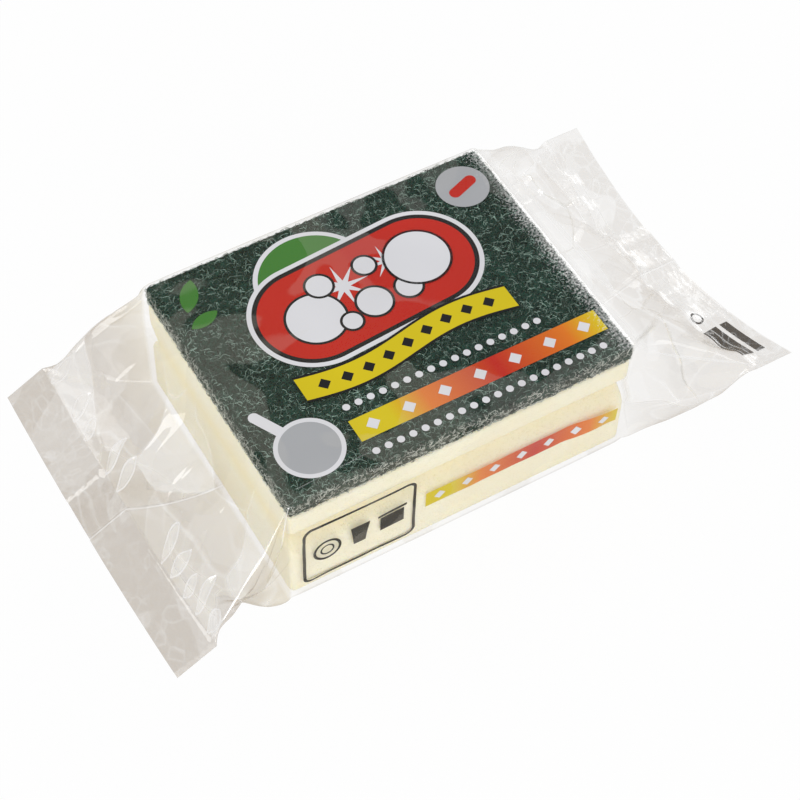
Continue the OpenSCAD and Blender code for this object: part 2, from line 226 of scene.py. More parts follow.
def fibre_web_group():
    """Thin tangled lines at one size: a mask of the lines, and a slow patchiness."""
    group, n, given, out = new_group(
        "Fibre web",
        [("Place", "Vector", None), ("Size", "Float", 700.0), ("Width", "Float", 0.1)],
        [("Lines", "Float", None), ("Patches", "Float", None)],
    )
    bend = n.add("ShaderNodeTexNoise", {"Vector": given["Place"], "Scale": 420.0, "Detail": 2.0})
    shift = n.add("ShaderNodeVectorMath", operation="MULTIPLY_ADD")
    n.feed(shift.inputs[0], bend.outputs["Color"])
    shift.inputs[1].default_value = (0.0024, 0.0024, 0.0024)
    n.feed(shift.inputs[2], given["Place"])
    lines = None
    for share, strength in ((1.0, 1.0), (0.57, 0.8), (0.33, 0.6)):
        web = n.add(
            "ShaderNodeTexVoronoi",
            {"Vector": shift.outputs[0], "Scale": n.multiply(given["Size"], share)},
            feature="DISTANCE_TO_EDGE",
        )
        line = n.math("SUBTRACT", 1.0, n.math("DIVIDE", web.outputs["Distance"], given["Width"]), True)
        line = n.multiply(line, strength)
        lines = line if lines is None else n.math("MAXIMUM", lines, line)
    patch = n.add("ShaderNodeTexNoise", {"Vector": given["Place"], "Scale": 110.0, "Detail": 3.0})
    n.feed(out["Lines"], lines)
    n.feed(out["Patches"], patch.outputs["Fac"])
    return group


def new_material(name):
    """A material with its node builder and its one shader."""
    material = bpy.data.materials.new(name)
    material.use_nodes = True
    n = Nodes(material.node_tree)
    shader = material.node_tree.nodes["Principled BSDF"]
    return material, n, shader


def pad_material(colour):
    """Dark green abrasive non-woven: threads over deep gaps."""
    material, n, shader = new_material("Pad green")
    place = n.add("ShaderNodeTexCoord").outputs["Object"]
    web = n.add("ShaderNodeGroup", node_tree=fibre_web_group())
    n.feed(web.inputs["Place"], place)
    web.inputs["Size"].default_value = 1500.0
    web.inputs["Width"].default_value = 0.13
    lines, patches = web.outputs["Lines"], web.outputs["Patches"]
    # Between the threads the pad is painted darker: painted shade in the deep gaps. The slow patches take
    # that dark colour too.
    dark = tuple(c * 0.25 for c in colour) + (1,)
    base = n.mix(lines, dark, (*[c * 2.4 for c in colour], 1))
    base = n.mix(n.grey(patches, 0.4, 0.7, 0.0, 0.5), base, dark)
    n.feed(shader.inputs["Base Color"], base)
    shader.inputs["Roughness"].default_value = 0.8
    shader.inputs["Specular IOR Level"].default_value = 0.2
    bump = n.add("ShaderNodeBump", {"Strength": 1.0, "Distance": 0.0004, "Height": lines})
    n.feed(shader.inputs["Normal"], bump.outputs["Normal"])
    return material


def thread_material(colour, light):
    """Loose threads of the pad: most dark green, some pale, and greyer on its cut sides, in part a painted
    highlight.
    """
    material, n, shader = new_material("Thread green")
    place = n.add("ShaderNodeTexCoord").outputs["Object"]
    each = n.add("ShaderNodeAttribute", attribute_name="tone").outputs["Fac"]
    slow = n.add("ShaderNodeTexNoise", {"Vector": place, "Scale": 90.0, "Detail": 3.0, "Roughness": 0.6})
    tone = n.math("ADD", each, n.multiply(n.math("SUBTRACT", slow.outputs["Fac"], 0.5), 0.9))
    base = n.mix(n.grey(tone, 0.4, 1.05), (*[c * 0.7 for c in colour], 1), (*light, 1))
    # On the cut sides the threads are painted grey: paler fuzz there, and in part a painted highlight of the
    # film's edge in front of them.
    split = n.add("ShaderNodeSeparateXYZ", {"Vector": place})
    out = n.math("MAXIMUM", n.grey(n.math("ABSOLUTE", split.outputs["X"]), 0.0493, 0.0500),
                 n.grey(n.math("ABSOLUTE", split.outputs["Y"]), 0.0383, 0.0390))
    cut = n.mix(n.grey(each, 0.1, 0.4), (*colour, 1), (0.66, 0.67, 0.60, 1))
    n.feed(shader.inputs["Base Color"], n.mix(n.multiply(out, 0.8), base, cut))
    shader.inputs["Roughness"].default_value = 0.45
    shader.inputs["Specular IOR Level"].default_value = 0.35
    return material


def foam_material(colour):
    """Cream open-cell foam with fine pores."""
    material, n, shader = new_material("Cream foam")
    place = n.add("ShaderNodeTexCoord").outputs["Object"]
    cells = n.add("ShaderNodeTexVoronoi", {"Vector": place, "Scale": 1500.0, "Randomness": 1.0})
    large = n.add("ShaderNodeTexVoronoi", {"Vector": place, "Scale": 620.0, "Randomness": 1.0})
    tone = n.add("ShaderNodeTexNoise", {"Vector": place, "Scale": 60.0, "Detail": 4.0})
    pore = n.grey(cells.outputs["Distance"], 0.05, 0.42)
    hollow = n.grey(large.outputs["Distance"], 0.0, 0.22)
    height = n.math("ADD", pore, n.multiply(hollow, 0.5))
    # The pores and hollows are painted darker and yellower: painted shade in them.
    deep = tuple(c * k for c, k in zip(colour, (0.86, 0.83, 0.72))) + (1,)
    base = n.mix(n.multiply(n.math("ADD", pore, hollow), 0.5), deep, (*colour, 1))
    warm = tuple(c * k for c, k in zip(colour, (0.97, 0.94, 0.84))) + (1,)
    base = n.mix(n.grey(tone.outputs["Fac"], 0.35, 0.7, 0.0, 0.6), base, warm)
    # The grip groove is painted yellower and darker than the faces: painted shade in the groove.
    split = n.add("ShaderNodeSeparateXYZ", {"Vector": place})
    inside = n.grey(n.math("ABSOLUTE", split.outputs["Y"]), 0.033, 0.0385, 1.0, 0.3)
    grip = n.multiply(n.near(split.outputs["Z"], 0.0247, 0.0065), inside)
    yellow = tuple(c * k for c, k in zip(colour, (0.98, 0.9, 0.66))) + (1,)
    base = n.mix(n.multiply(grip, 0.55), base, yellow)
    n.feed(shader.inputs["Base Color"], base)
    shader.inputs["Roughness"].default_value = 0.9
    shader.inputs["Specular IOR Level"].default_value = 0.2
    shader.inputs["Subsurface Weight"].default_value = 0.35
    shader.inputs["Subsurface Radius"].default_value = (1.0, 0.8, 0.45)
    shader.inputs["Subsurface Scale"].default_value = 0.004
    bump = n.add("ShaderNodeBump", {"Strength": 0.4, "Distance": 0.0003, "Height": height})
    n.feed(shader.inputs["Normal"], bump.outputs["Normal"])
    return material


def facets_group():
    """Flat facets of crumpled film: a painted reflection tone for each facet, its ridges, and a height."""
    group, n, given, out = new_group(
        "Crumpled facets",
        [("Place", "Vector", None), ("Size", "Float", 45.0), ("Ridge width", "Float", 0.03)],
        [("Facet reflection", "Float", None), ("Ridges", "Float", None), ("Height", "Float", None)],
    )
    bend = n.add("ShaderNodeTexNoise", {"Vector": given["Place"], "Scale": 38.0, "Detail": 1.0})
    shift = n.add("ShaderNodeVectorMath", operation="MULTIPLY_ADD")
    n.feed(shift.inputs[0], bend.outputs["Color"])
    shift.inputs[1].default_value = (0.022, 0.030, 0.0)
    n.feed(shift.inputs[2], given["Place"])
    cells = n.add("ShaderNodeTexVoronoi", {"Vector": shift.outputs[0], "Scale": given["Size"]})
    edges = n.add("ShaderNodeTexVoronoi", {"Vector": shift.outputs[0], "Scale": given["Size"]},
                  feature="DISTANCE_TO_EDGE")
    parts = n.add("ShaderNodeSeparateColor", {"Color": cells.outputs["Color"]})
    ridges = n.math("SUBTRACT", 1.0, n.math("DIVIDE", edges.outputs["Distance"], given["Ridge width"]), True)
    n.feed(out["Facet reflection"], parts.outputs[0])
    n.feed(out["Ridges"], ridges)
    n.feed(out["Height"], edges.outputs["Distance"])
    return group


def crease_group():
    """A straight crease from one point of the flat web to another: a mask that fades at its sides."""
    group, n, given, out = new_group(
        "Crease",
        [("Place", "Vector", None), ("From", "Vector", None), ("To", "Vector", None),
         ("Width", "Float", 0.0004)],
        [("Mask", "Float", None)],
    )
    run = n.vector("SUBTRACT", given["To"], given["From"])
    here = n.vector("SUBTRACT", given["Place"], given["From"])
    share = n.math("DIVIDE", n.vector("DOT_PRODUCT", here, run), n.vector("DOT_PRODUCT", run, run), True)
    along = n.add("ShaderNodeVectorMath", operation="SCALE")
    n.feed(along.inputs[0], run)
    n.feed(along.inputs["Scale"], share)
    gap = n.vector("LENGTH", n.vector("SUBTRACT", here, along.outputs[0]))
    n.feed(out["Mask"], n.math("SUBTRACT", 1.0, n.math("DIVIDE", gap, given["Width"]), True))
    return group


def pucker_group(pitch, border):
    """Pointed puckers side by side along the left seal: their rims and their insides."""
    group, n, given, out = new_group(
        "Seal puckers", [("Place", "Vector", None)],
        [("Rims", "Float", None), ("Insides", "Float", None), ("Height", "Float", None)],
    )
    split = n.add("ShaderNodeSeparateXYZ", {"Vector": given["Place"]})
    wander = n.add("ShaderNodeTexNoise", {"Vector": given["Place"], "Scale": 90.0, "Detail": 0.0})
    drift = n.multiply(n.math("SUBTRACT", wander.outputs["Fac"], 0.5), 0.9)
    number = n.math("ADD", n.math("DIVIDE", split.outputs["Y"], pitch * MM), drift)
    cell = n.math("ROUND", number)
    side = n.math("ABSOLUTE", n.math("SUBTRACT", number, cell))
    chance = n.math("FRACT", n.multiply(n.math("SINE", n.multiply(cell, 12.99)), 437.58))
    half = n.math("ADD", n.multiply(chance, 3.4 * MM), 2.6 * MM)
    inward = n.math("ADD", split.outputs["X"], border * MM)
    share = n.math("DIVIDE", n.math("SUBTRACT", inward, half), half)
    width = n.multiply(n.math("SUBTRACT", 1.0, n.multiply(share, share)), 0.27)
    here = n.math("GREATER_THAN", width, 0.0)
    on_top = n.math("LESS_THAN", n.math("ABSOLUTE", split.outputs["Y"]), FILM_Y * MM)
    shown = n.multiply(here, n.math("LESS_THAN", split.outputs["X"], 0.0), on_top,
                       n.math("GREATER_THAN", chance, 0.16))
    depth = n.math("SUBTRACT", width, side)
    n.feed(out["Rims"], n.multiply(shown, n.near(depth, 0.0, 0.055)))
    n.feed(out["Insides"], n.multiply(shown, n.grey(depth, 0.0, 0.05)))
    n.feed(out["Height"], n.multiply(shown, n.grey(depth, -0.05, 0.2)))
    return group


def film_material(haze):
    """Thin clear film: nearly unseen where it clings, warm grey and creased where it stands off, with
    painted highlights and reflections.
    """
    material, n, shader = new_material("Clear film")
    web = n.add("ShaderNodeUVMap").outputs["UV"]
    place = n.add("ShaderNodeTexCoord").outputs["Object"]
    seal = n.add("ShaderNodeAttribute", attribute_name="seal").outputs["Fac"]
    end = n.add("ShaderNodeAttribute", attribute_name="end").outputs["Fac"]
    facing = n.add("ShaderNodeLayerWeight", {"Blend": 0.5}).outputs["Facing"]
    split = n.add("ShaderNodeSeparateXYZ", {"Vector": web})
    along, over = split.outputs["X"], n.math("ABSOLUTE", split.outputs["Y"])
    right = n.math("GREATER_THAN", along, 0.0)
    on_top = n.math("LESS_THAN", over, FILM_Y * MM)
    slope = n.multiply(end, n.math("SUBTRACT", 1.0, seal))

    def group(tree, **inputs):
        node = n.add("ShaderNodeGroup", node_tree=tree)
        n.feed(node.inputs["Place"], web)
        for name, value in inputs.items():
            node.inputs[name.replace("_", " ")].default_value = value
        return node.outputs

    # Facets and ridges of the crumpled ends: lighter facets are a painted reflection, dimmer ones a painted
    # darker grey, and the ridges painted highlights.
    facets = group(facets_group(), Size=42.0, Ridge_width=0.035)
    fine = group(facets["Facet reflection"].node.node_tree, Size=300.0, Ridge_width=0.16)
    tone = n.multiply(slope, n.grey(facets["Facet reflection"], 0.52, 0.55))
    painted_dim_facets = n.multiply(slope, n.grey(facets["Facet reflection"], 0.26, 0.23))
    ridges = n.multiply(facets["Ridges"], facets["Facet reflection"], slope)
    # Puckers along the left seal, with painted highlights on their rims and a fainter painted light inside.
    reach, middle, _, _, rise = ENDS[-1]
    border = FILM_X + math.hypot(reach - STRIP - FILM_X, FILM_TOP - middle - rise)
    puckers = group(pucker_group(5.3, border))
    # Painted highlights along the edges between the panels, the fold at the front left, and a crease over
    # the pad.
    edge = n.multiply(n.near(over, FILM_Y * MM, 0.45 * MM), slope)
    crease = crease_group()
    corner = (-FILM_X * MM, -FILM_Y * MM, 0)
    tip = (-77 * MM, -(FILM_Y + FILM_SIDE) * MM, 0)
    fold = group(crease, From=corner, To=tip, Width=0.55 * MM)["Mask"]
    start, stop = (-46 * MM, -35.5 * MM, 0), (-22 * MM, -34.5 * MM, 0)
    thin = group(crease, From=start, To=stop, Width=0.2 * MM)["Mask"]
    # Two lines pressed into the right strip, painted white as highlights.
    reach, middle = ENDS[1][:2]
    pressed = FILM_X + math.hypot(reach - STRIP - FILM_X, FILM_TOP - middle)
    lines = n.math("MAXIMUM", *[n.near(along, (pressed + far) * MM, 0.28 * MM) for far in (0.7, 2.4)])
    # Painted glints on fine crinkles in the seals, brighter at the right, and painted highlights on the
    # ridges and the marks above.
    seal_glints = n.multiply(fine["Ridges"], seal, n.grey(fine["Facet reflection"], 0.45, 0.9),
                         n.grey(right, 0.0, 1.0, 0.4, 1.0))
    white = n.multiply(ridges, n.grey(right, 0.0, 1.0, 0.55, 0.8))
    for mask, strength in ((puckers["Rims"], 0.95), (puckers["Insides"], 0.24), (edge, 0.75),
                           (fold, 0.8), (thin, 0.22), (lines, 0.6), (seal_glints, 0.45)):
        white = n.math("MAXIMUM", white, n.multiply(mask, strength))
    # Where the film leaves the pad at the right it throws back a soft white light.
    speck = n.add("ShaderNodeTexNoise", {"Vector": web, "Scale": 1500.0, "Detail": 2.0})
    stray = n.multiply(n.math("SUBTRACT", speck.outputs["Fac"], 0.5), 15 * MM)
    ragged = n.math("ADD", along, stray)
    cloud = n.add("ShaderNodeTexNoise", {"Vector": web, "Scale": 60.0, "Detail": 1.0})
    veil = n.multiply(n.grey(ragged, 46 * MM, 51.5 * MM), n.grey(along, 52 * MM, 57 * MM, 1.0, 0.0),
                      n.grey(cloud.outputs["Fac"], 0.3, 0.6, 0.35, 1.0), on_top)
    # Where the film stands off the pad it shows as grey patches with one crisp side: a painted reflection.
    stand = n.add("ShaderNodeTexNoise", {
        "Vector": place, "Scale": 34.0, "Detail": 1.5, "Roughness": 0.4, "Distortion": 1.4})
    rimward = n.math("MAXIMUM", n.grey(over, 20 * MM, 39 * MM),
                     n.grey(n.math("ABSOLUTE", along), 26 * MM, 48 * MM))
    off = n.grey(n.math("ADD", stand.outputs["Fac"], n.multiply(rimward, 0.09)), 0.55, 0.57)
    # Heights for the reflections.
    rumple = n.add("ShaderNodeTexNoise", {"Vector": place, "Scale": 330.0, "Detail": 2.0, "Distortion": 0.6})
    soft = n.add("ShaderNodeTexNoise", {"Vector": place, "Scale": 70.0, "Detail": 1.0, "Distortion": 0.5})
    crimp = n.math("SINE", n.multiply(along, 2 * math.pi / 0.0019))
    height = n.math("ADD", n.multiply(crimp, 0.04), n.multiply(rumple.outputs["Fac"], 0.3))
    height = n.multiply(height, seal, n.grey(right, 0.0, 1.0, 0.35, 1.0))
    for part, share in ((soft.outputs["Fac"], 0.5), (n.multiply(facets["Height"], slope), 2.4),
                        (puckers["Height"], 0.5)):
        height = n.math("ADD", height, n.multiply(part, share))
    bump = n.add("ShaderNodeBump", {"Strength": 0.6, "Distance": 0.0006, "Height": height})
    n.feed(shader.inputs["Normal"], bump.outputs["Normal"])
    # How much the film covers, and how white it is there. The white is painted highlight and painted
    # reflection.
    fin = n.math("GREATER_THAN", over, FILM_FOLD * MM)
    lower = n.multiply(n.grey(along, -(FILM_X + 1.5) * MM, -FILM_X * MM, 1.0, 0.0),
                   n.math("SUBTRACT", 1.0, on_top))
    base = n.multiply(n.math("MAXIMUM", end, lower),
                  n.grey(right, 0.0, 1.0, haze * 2.1, haze * 0.34))
    cover = n.math("ADD", base, haze * 0.14)
    cover = n.math("ADD", cover, n.multiply(n.math("ADD", off, painted_dim_facets), haze * 0.5))
    rim = n.multiply(n.math("POWER", facing, 3.0), n.grey(end, 0.0, 1.0, 0.2, 0.35),
                     n.grey(over, (FILM_FOLD - 2.5) * MM, (FILM_FOLD - 1.5) * MM, 1.0, 0.0))
    cover = n.math("ADD", n.math("ADD", cover, rim), n.multiply(seal, 0.045))
    # Lighter facets on the ends, as painted reflections.
    patch = n.multiply(tone, on_top, n.grey(right, 0.0, 1.0, 0.3, 0.55),
                       n.math("MAXIMUM", n.grey(along, -72 * MM, -60 * MM, 1.0, 0.3), right))
    # All the painted highlights and reflections, which make the film whiter and less clear.
    painted_glare = n.math("MAXIMUM", n.math("MAXIMUM", white, patch), n.multiply(veil, 0.85))
    painted_glare = n.math("MAXIMUM", painted_glare, n.multiply(off, n.grey(end, 0.0, 1.0, 0.035, 0.0)))
    cover = n.math("MAXIMUM", cover, n.math("ADD", n.multiply(cover, 0.4), painted_glare))
    cover = n.math("MULTIPLY", cover, n.grey(fin, 0.0, 1.0, 1.0, 0.15), True)
    n.feed(shader.inputs["Alpha"], cover)
    whiteness = n.math("DIVIDE", painted_glare, n.math("ADD", cover, 0.001), True)
    # Beside the foam the film is tinted cream, as a painted reflection of the foam.
    glow = n.multiply(n.grey(along, -70 * MM, -50 * MM), n.math("SUBTRACT", 1.0, right))
    tint = n.mix(glow, (0.31, 0.205, 0.085, 1), (0.60, 0.47, 0.20, 1))
    n.feed(shader.inputs["Base Color"], n.mix(whiteness, tint, (0.98, 0.97, 0.955, 1)))
    shader.inputs["Roughness"].default_value = 0.035
    shader.inputs["IOR"].default_value = 2.6
    shader.inputs["Specular IOR Level"].default_value = 1.0
    return material


def ink_material():
    """Print on the film's inner face, in the colours that its mesh carries."""
    material, n, shader = new_material("Print ink")
    place = n.add("ShaderNodeTexCoord").outputs["Object"]
    printed = n.add("ShaderNodeAttribute", attribute_name="print").outputs["Color"]
    drift = n.add("ShaderNodeTexNoise", {"Vector": place, "Scale": 40.0, "Detail": 1.0})
    tone = n.grey(drift.outputs["Fac"], 0.35, 0.65, 0.93, 1.0)
    base = n.add("ShaderNodeVectorMath", operation="SCALE")
    n.feed(base.inputs[0], printed)
    n.feed(base.inputs["Scale"], tone)
    n.feed(shader.inputs["Base Color"], base.outputs[0])
    shader.inputs["Roughness"].default_value = 0.4
    shader.inputs["Specular IOR Level"].default_value = 0.15
    return material


# ------------------------------------------------------------------ film

# The cloth settles at this many times its size, where its solver is steadier.
SIM_SCALE = 20.0
# Rows beside a seal over which the film comes away from its place, and how far
# it leaves it over the sponge.
SEAL_ROWS = 9
BODY_SHARE = 0.3


def fin_lift(y):
    """Film layers that the folded fin puts under the base, from none to two."""
    return 2 * np.clip((FIN + 4 - y) / 3, 0, 1) * np.clip((y + 2.5) / 2, 0, 1)


def smooth(x):
    """An even rise from 0 to 1, flat at both ends."""
    x = np.clip(x, 0, 1)
    return x * x * (3 - 2 * x)


def web_columns():
    """Where the film's columns lie across the flat web, closest on the top panel."""
    parts = [np.linspace(0, FILM_Y, 56), np.linspace(FILM_Y, FILM_Y + FILM_SIDE, 31)[1:],
             np.linspace(FILM_Y + FILM_SIDE, FILM_FOLD, 35)[1:],
             np.linspace(FILM_FOLD, WEB_HALF, 9)[1:]]
    half = np.concatenate(parts)
    return np.concatenate([-half[:0:-1], half])


def film_grid(ends_slack, gathers):
    """The film laid round the sponge, the same with its slack drawn out, and flat as it was cut."""
    across = web_columns()
    a, side = np.abs(across), np.sign(across)
    over = a - FILM_FOLD
    inner = (over > 0) & (across > 0)
    y = np.select([a <= FILM_Y, a <= FILM_Y + FILM_SIDE], [across, side * FILM_Y],
                  side * (FILM_FOLD - a))
    y = np.where(over > 0, over, y)
    z = np.select([a <= FILM_Y, a <= FILM_Y + FILM_SIDE], [FILM_TOP + 0 * a, FILM_TOP - (a - FILM_Y)],
                  FILM_BOTTOM + 0 * a)
    back_base = (across > 0) & (a > FILM_Y + FILM_SIDE) & (over <= 0)

    def stacked(y):
        return np.where(back_base, fin_lift(y), 0) + np.where(inner, 1, 0)

    # At a seal the top panel spans nearly the whole width, and the side panels close to its tips.
    tip = SEAL_HALF - 2.5
    seal_y = np.interp(a, [0, FILM_Y, FILM_Y + FILM_SIDE / 2, FILM_Y + FILM_SIDE, FILM_FOLD],
                       [0, tip, SEAL_HALF, tip, 0]) * side
    seal_y = np.where(over > 0, over, seal_y)
    top_share = 1 - smooth((a - FILM_Y) / FILM_SIDE)
    base_share = np.clip((a - FILM_Y) / FILM_SIDE, 0, 1)
    crown = np.where(a <= FILM_Y, 1 - (a / FILM_Y) ** 2, 0)
    folded = (1 + fin_lift(seal_y)) * top_share + stacked(seal_y) * (1 - top_share)
    seal_stack = np.where(over > 0, stacked(seal_y), folded)
    placed, drawn, flat, seal, end = [], [], [], [], []

    def add_row(x, y, z, along, seal_share, end_share, waves=0.0, wider=1.0):
        placed.append(np.stack([x + 0 * y, y, z + waves], 1))
        drawn.append(np.stack([x + 0 * y, y * wider, z], 1))
        flat.append(np.stack([along + 0 * y, across, 0 * y], 1))
        seal.append(seal_share + 0 * y)
        end.append(end_share + 0 * y)

    def add_end(way, slope_rows, strip_rows):
        reach, middle, back, front, rise = ENDS[way]
        run = reach - STRIP - FILM_X
        fall = math.hypot(run, FILM_TOP - middle - rise)
        r = seal_y / SEAL_HALF
        line = middle + (back - front) / 2 * r + (back + front) / 2 * r * r
        turns = np.pi * seal_y / SEAL_HALF
        if way < 0:
            wave = 0.4 * np.sin(gathers * turns) * (
                0.95 + 0.35 * np.sin(3.7 * turns + 1) + 0.25 * np.cos(6.1 * turns))
            gather = 0.2
        else:
            wave = 1.7 * (0.6 * np.sin(4 * turns) + 0.4 * np.sin(9 * turns))
            gather = 0.1
        rows = [(s, 0.0) for s in np.arange(1, slope_rows + 1) / slope_rows]
        rows += [(1.0, t) for t in np.arange(1, strip_rows + 1) / strip_rows]
        for s, t in rows if way > 0 else rows[::-1]:
            seal_z = line + rise * (1 - t)
            rising = s ** (1 + base_share)
            height = (z + stacked(y) * FILM_LAYER) * (1 - s) + seal_z * rising + seal_stack * FILM_LAYER * s
            raised = 0.35 * crown + 0.65 * (1 - base_share)
            height = height + TOP_SWELL[way] * 4 * s * (1 - s) * raised
            kept = 1 - BASE_TUCK[way] * base_share * 6.75 * s * s * (1 - s) * (across < 0)
            swell = 4 * s ** 3 * (1 - s) if way < 0 else s ** 3 * smooth(1 - 2.2 * t)
            add_row(way * (FILM_X + s * run + t * STRIP), (y * (1 - s) + seal_y * s) * kept, height,
                    way * (FILM_X + s * fall + t * STRIP), float(s == 1), smooth(s * 2.5),
                    wave * swell, 1 + gather * s ** 3)
            drawn[-1][:, 0] += way * s * run * ends_slack
            drawn[-1][:, 2] += (height - FILM_TOP) * ends_slack * s

    add_end(-1, 38, 8)
    for x in np.linspace(-FILM_X, FILM_X, 67):
        add_row(x, y, z + stacked(y) * FILM_LAYER, x, 0.0, 0.0)
    add_end(1, 36, 8)
    held = np.array(seal) >= 1
    held |= (over > -1.5)[None]
    return tuple(np.array(each) for each in (placed, drawn, flat, held, seal, end, across))


def box_collider(name, low, high):
    """A box that the film can't enter while it settles."""
    points, faces = rounded_block(low, high, 0.5, 60)
    obj = add_mesh(name, points * MM * SIM_SCALE, faces, smooth=False)
    obj.modifiers.new("Collision", "COLLISION")
    obj.collision.thickness_outer = 0.002
    obj.collision.thickness_inner = 0.2
    obj.collision.cloth_friction = 2.0
    return obj


def settle_film(placed, drawn, held, end, props):
    """Lets the film go slack against the sponge by a cloth simulation, at a larger scale."""
    rows, columns = placed.shape[:2]
    start = placed.copy()
    out = start - np.array([0, 0, MIDDLE_Z])
    out[..., 0] *= 0.3
    out /= np.maximum(np.linalg.norm(out, axis=-1, keepdims=True), 1e-6)
    rough = 0.3 * cell_noise((rows, columns), (26, 40), 3) + cell_noise((rows, columns), (12, 18), 5)
    start += out * (rough * end * ~held * props.roughness)[..., None]
    film = add_mesh("film_web", start.reshape(-1, 3) * MM * SIM_SCALE, grid_faces(rows, columns))
    film.shape_key_add(name="Placed")
    cut = film.shape_key_add(name="Drawn out")
    cut.data.foreach_set("co", (drawn.reshape(-1, 3) * MM * SIM_SCALE).astype(np.float32).ravel())
    cut.value = 0.0
    pins = film.vertex_groups.new(name="held")
    pins.add([int(i) for i in np.flatnonzero(held.ravel())], 1.0, "REPLACE")
    blown = film.vertex_groups.new(name="ends")
    for i in np.flatnonzero(end.ravel() > 0):
        blown.add([int(i)], float(end.ravel()[i]), "REPLACE")
    colliders = [
        box_collider("sponge_stop", (-HALF_LENGTH - 0.05, -HALF_WIDTH - 0.05, REST_Z - 0.4),
                     (HALF_LENGTH + 0.05, HALF_WIDTH + 0.05, SPONGE_TOP + 0.2)),
        box_collider("floor_stop", (-150, -120, -20), (150, 120, 0)),
    ]
    cloth = film.modifiers.new("Cloth", "CLOTH")
    s = cloth.settings
    s.quality = 6
    s.mass = 0.1
    s.tension_stiffness = s.compression_stiffness = props.stretch
    s.shear_stiffness = props.stretch / 2
    s.tension_damping = s.compression_damping = s.shear_damping = 2
    s.bending_stiffness = props.bending
    s.bending_damping = 0.2
    s.air_damping = 1.5
    s.time_scale = 2.0
    s.vertex_group_mass = "held"
    s.pin_stiffness = 1.0
    s.rest_shape_key = cut
    s.effector_weights.gravity = props.gravity
    s.use_pressure = True
    s.uniform_pressure_force = props.air
    s.vertex_group_pressure = "ends"
    cloth.collision_settings.distance_min = 0.004
    cloth.collision_settings.collision_quality = 2
    cloth.collision_settings.use_self_collision = False
    cloth.point_cache.frame_start = 1
    cloth.point_cache.frame_end = props.frames
    scene = bpy.context.scene
    first, last, now = scene.frame_start, scene.frame_end, scene.frame_current
    scene.frame_start, scene.frame_end = 1, props.frames
    for number in range(1, props.frames + 1):
        scene.frame_set(number)
    settled = film.evaluated_get(bpy.context.evaluated_depsgraph_get())
    points = np.empty(rows * columns * 3, np.float32)
    settled.data.vertices.foreach_get("co", points)
    for obj in [film, *colliders]:
        mesh = obj.data
        bpy.data.objects.remove(obj)
        bpy.data.meshes.remove(mesh)
    scene.frame_start, scene.frame_end = first, last
    scene.frame_set(now)
    points = points.reshape(rows, columns, 3).astype(float) / SIM_SCALE / MM
    if not np.isfinite(points).all():
        raise RuntimeError("the film's simulation failed")
    # The film keeps close to its place over the sponge and beside the seals.
    strips = np.flatnonzero(held[:, columns // 2])
    apart = np.abs(np.arange(rows)[:, None] - strips[None]).min(1)
    share = (BODY_SHARE + (1 - BODY_SHARE) * end) * smooth(apart / SEAL_ROWS)[:, None]
    points = placed + (points - placed) * share[..., None]
    # It lies on the pad and the foam, never in them.
    body = (end <= 0) & (np.abs(placed[..., 0]) <= HALF_LENGTH)
    top = body & (placed[..., 2] >= FILM_TOP - 0.01)
    points[..., 2] = np.where(top, np.maximum(points[..., 2], FILM_TOP - 0.04), points[..., 2])
    for way in (-1, 1):
        wall = body & (way * placed[..., 1] >= FILM_Y - 0.01)
        points[..., 1] = np.where(wall, way * np.maximum(way * points[..., 1], FILM_Y - 0.1), points[..., 1])
    return points


class Web:
    """The settled film, which gives the place and normal of any point on the flat web."""

    def __init__(self, points, flat, across):
        self.points, self.across = points, across
        self.along = flat[:, len(across) // 2, 0]
        up = np.gradient(points, axis=0)
        side = np.gradient(points, axis=1)
        normal = np.cross(up, side)
        self.normals = normal / np.maximum(np.linalg.norm(normal, axis=-1, keepdims=True), 1e-9)

    def place(self, along, across, out):
        """Points of the settled film, moved outward by out."""
        rows = np.interp(along, self.along, np.arange(len(self.along)))
        columns = np.interp(across, self.across, np.arange(len(self.across)))
        i = np.minimum(rows.astype(int), len(self.along) - 2)
        j = np.minimum(columns.astype(int), len(self.across) - 2)
        a, b = (rows - i)[..., None], (columns - j)[..., None]

        def blend(values):
            low = values[i, j] * (1 - b) + values[i, j + 1] * b
            high = values[i + 1, j] * (1 - b) + values[i + 1, j + 1] * b
            return low * (1 - a) + high * a

        return blend(self.points) + blend(self.normals) * out


film_web = {}


# ----------------------------------------------------------------- print


def circle(centre, radius, count=72):
    """The closed outline of a circle."""
    turn = np.linspace(0, 2 * np.pi, count + 1)
    return np.stack([centre[0] + radius * np.cos(turn), centre[1] + radius * np.sin(turn)], 1)


def turned(points, centre, degrees):
    """Points turned about zero and then moved to centre."""
    c, s = math.cos(math.radians(degrees)), math.sin(math.radians(degrees))
    return points @ np.array([[c, s], [-s, c]]) + np.array(centre)


def pill(centre, length, height, degrees=0.0, grow=0.0, count=96):
    """The outline of a pill and, point for point, the middle line it lies round."""
    half = (length - height) / 2
    turn = np.linspace(0, 2 * np.pi, count + 1)
    ring = np.stack([np.cos(turn), np.sin(turn)], 1)
    run = np.clip(np.cos(turn) * 1e6, -1, 1) * half
    # The straight sides get points of their own.
    top = np.linspace(half, -half, 25)
    quarter = count // 4
    x = np.concatenate([run[:quarter], top, run[quarter + 1:3 * quarter], top[::-1], run[3 * quarter + 1:]])
    arcs = np.concatenate([ring[:quarter], np.tile([[0, 1]], (25, 1)), ring[quarter + 1:3 * quarter],
                           np.tile([[0, -1]], (25, 1)), ring[3 * quarter + 1:]])
    middle = np.stack([x, 0 * x], 1)
    outline = middle + arcs * (height / 2 + grow)
    return turned(outline, centre, degrees), turned(middle, centre, degrees)


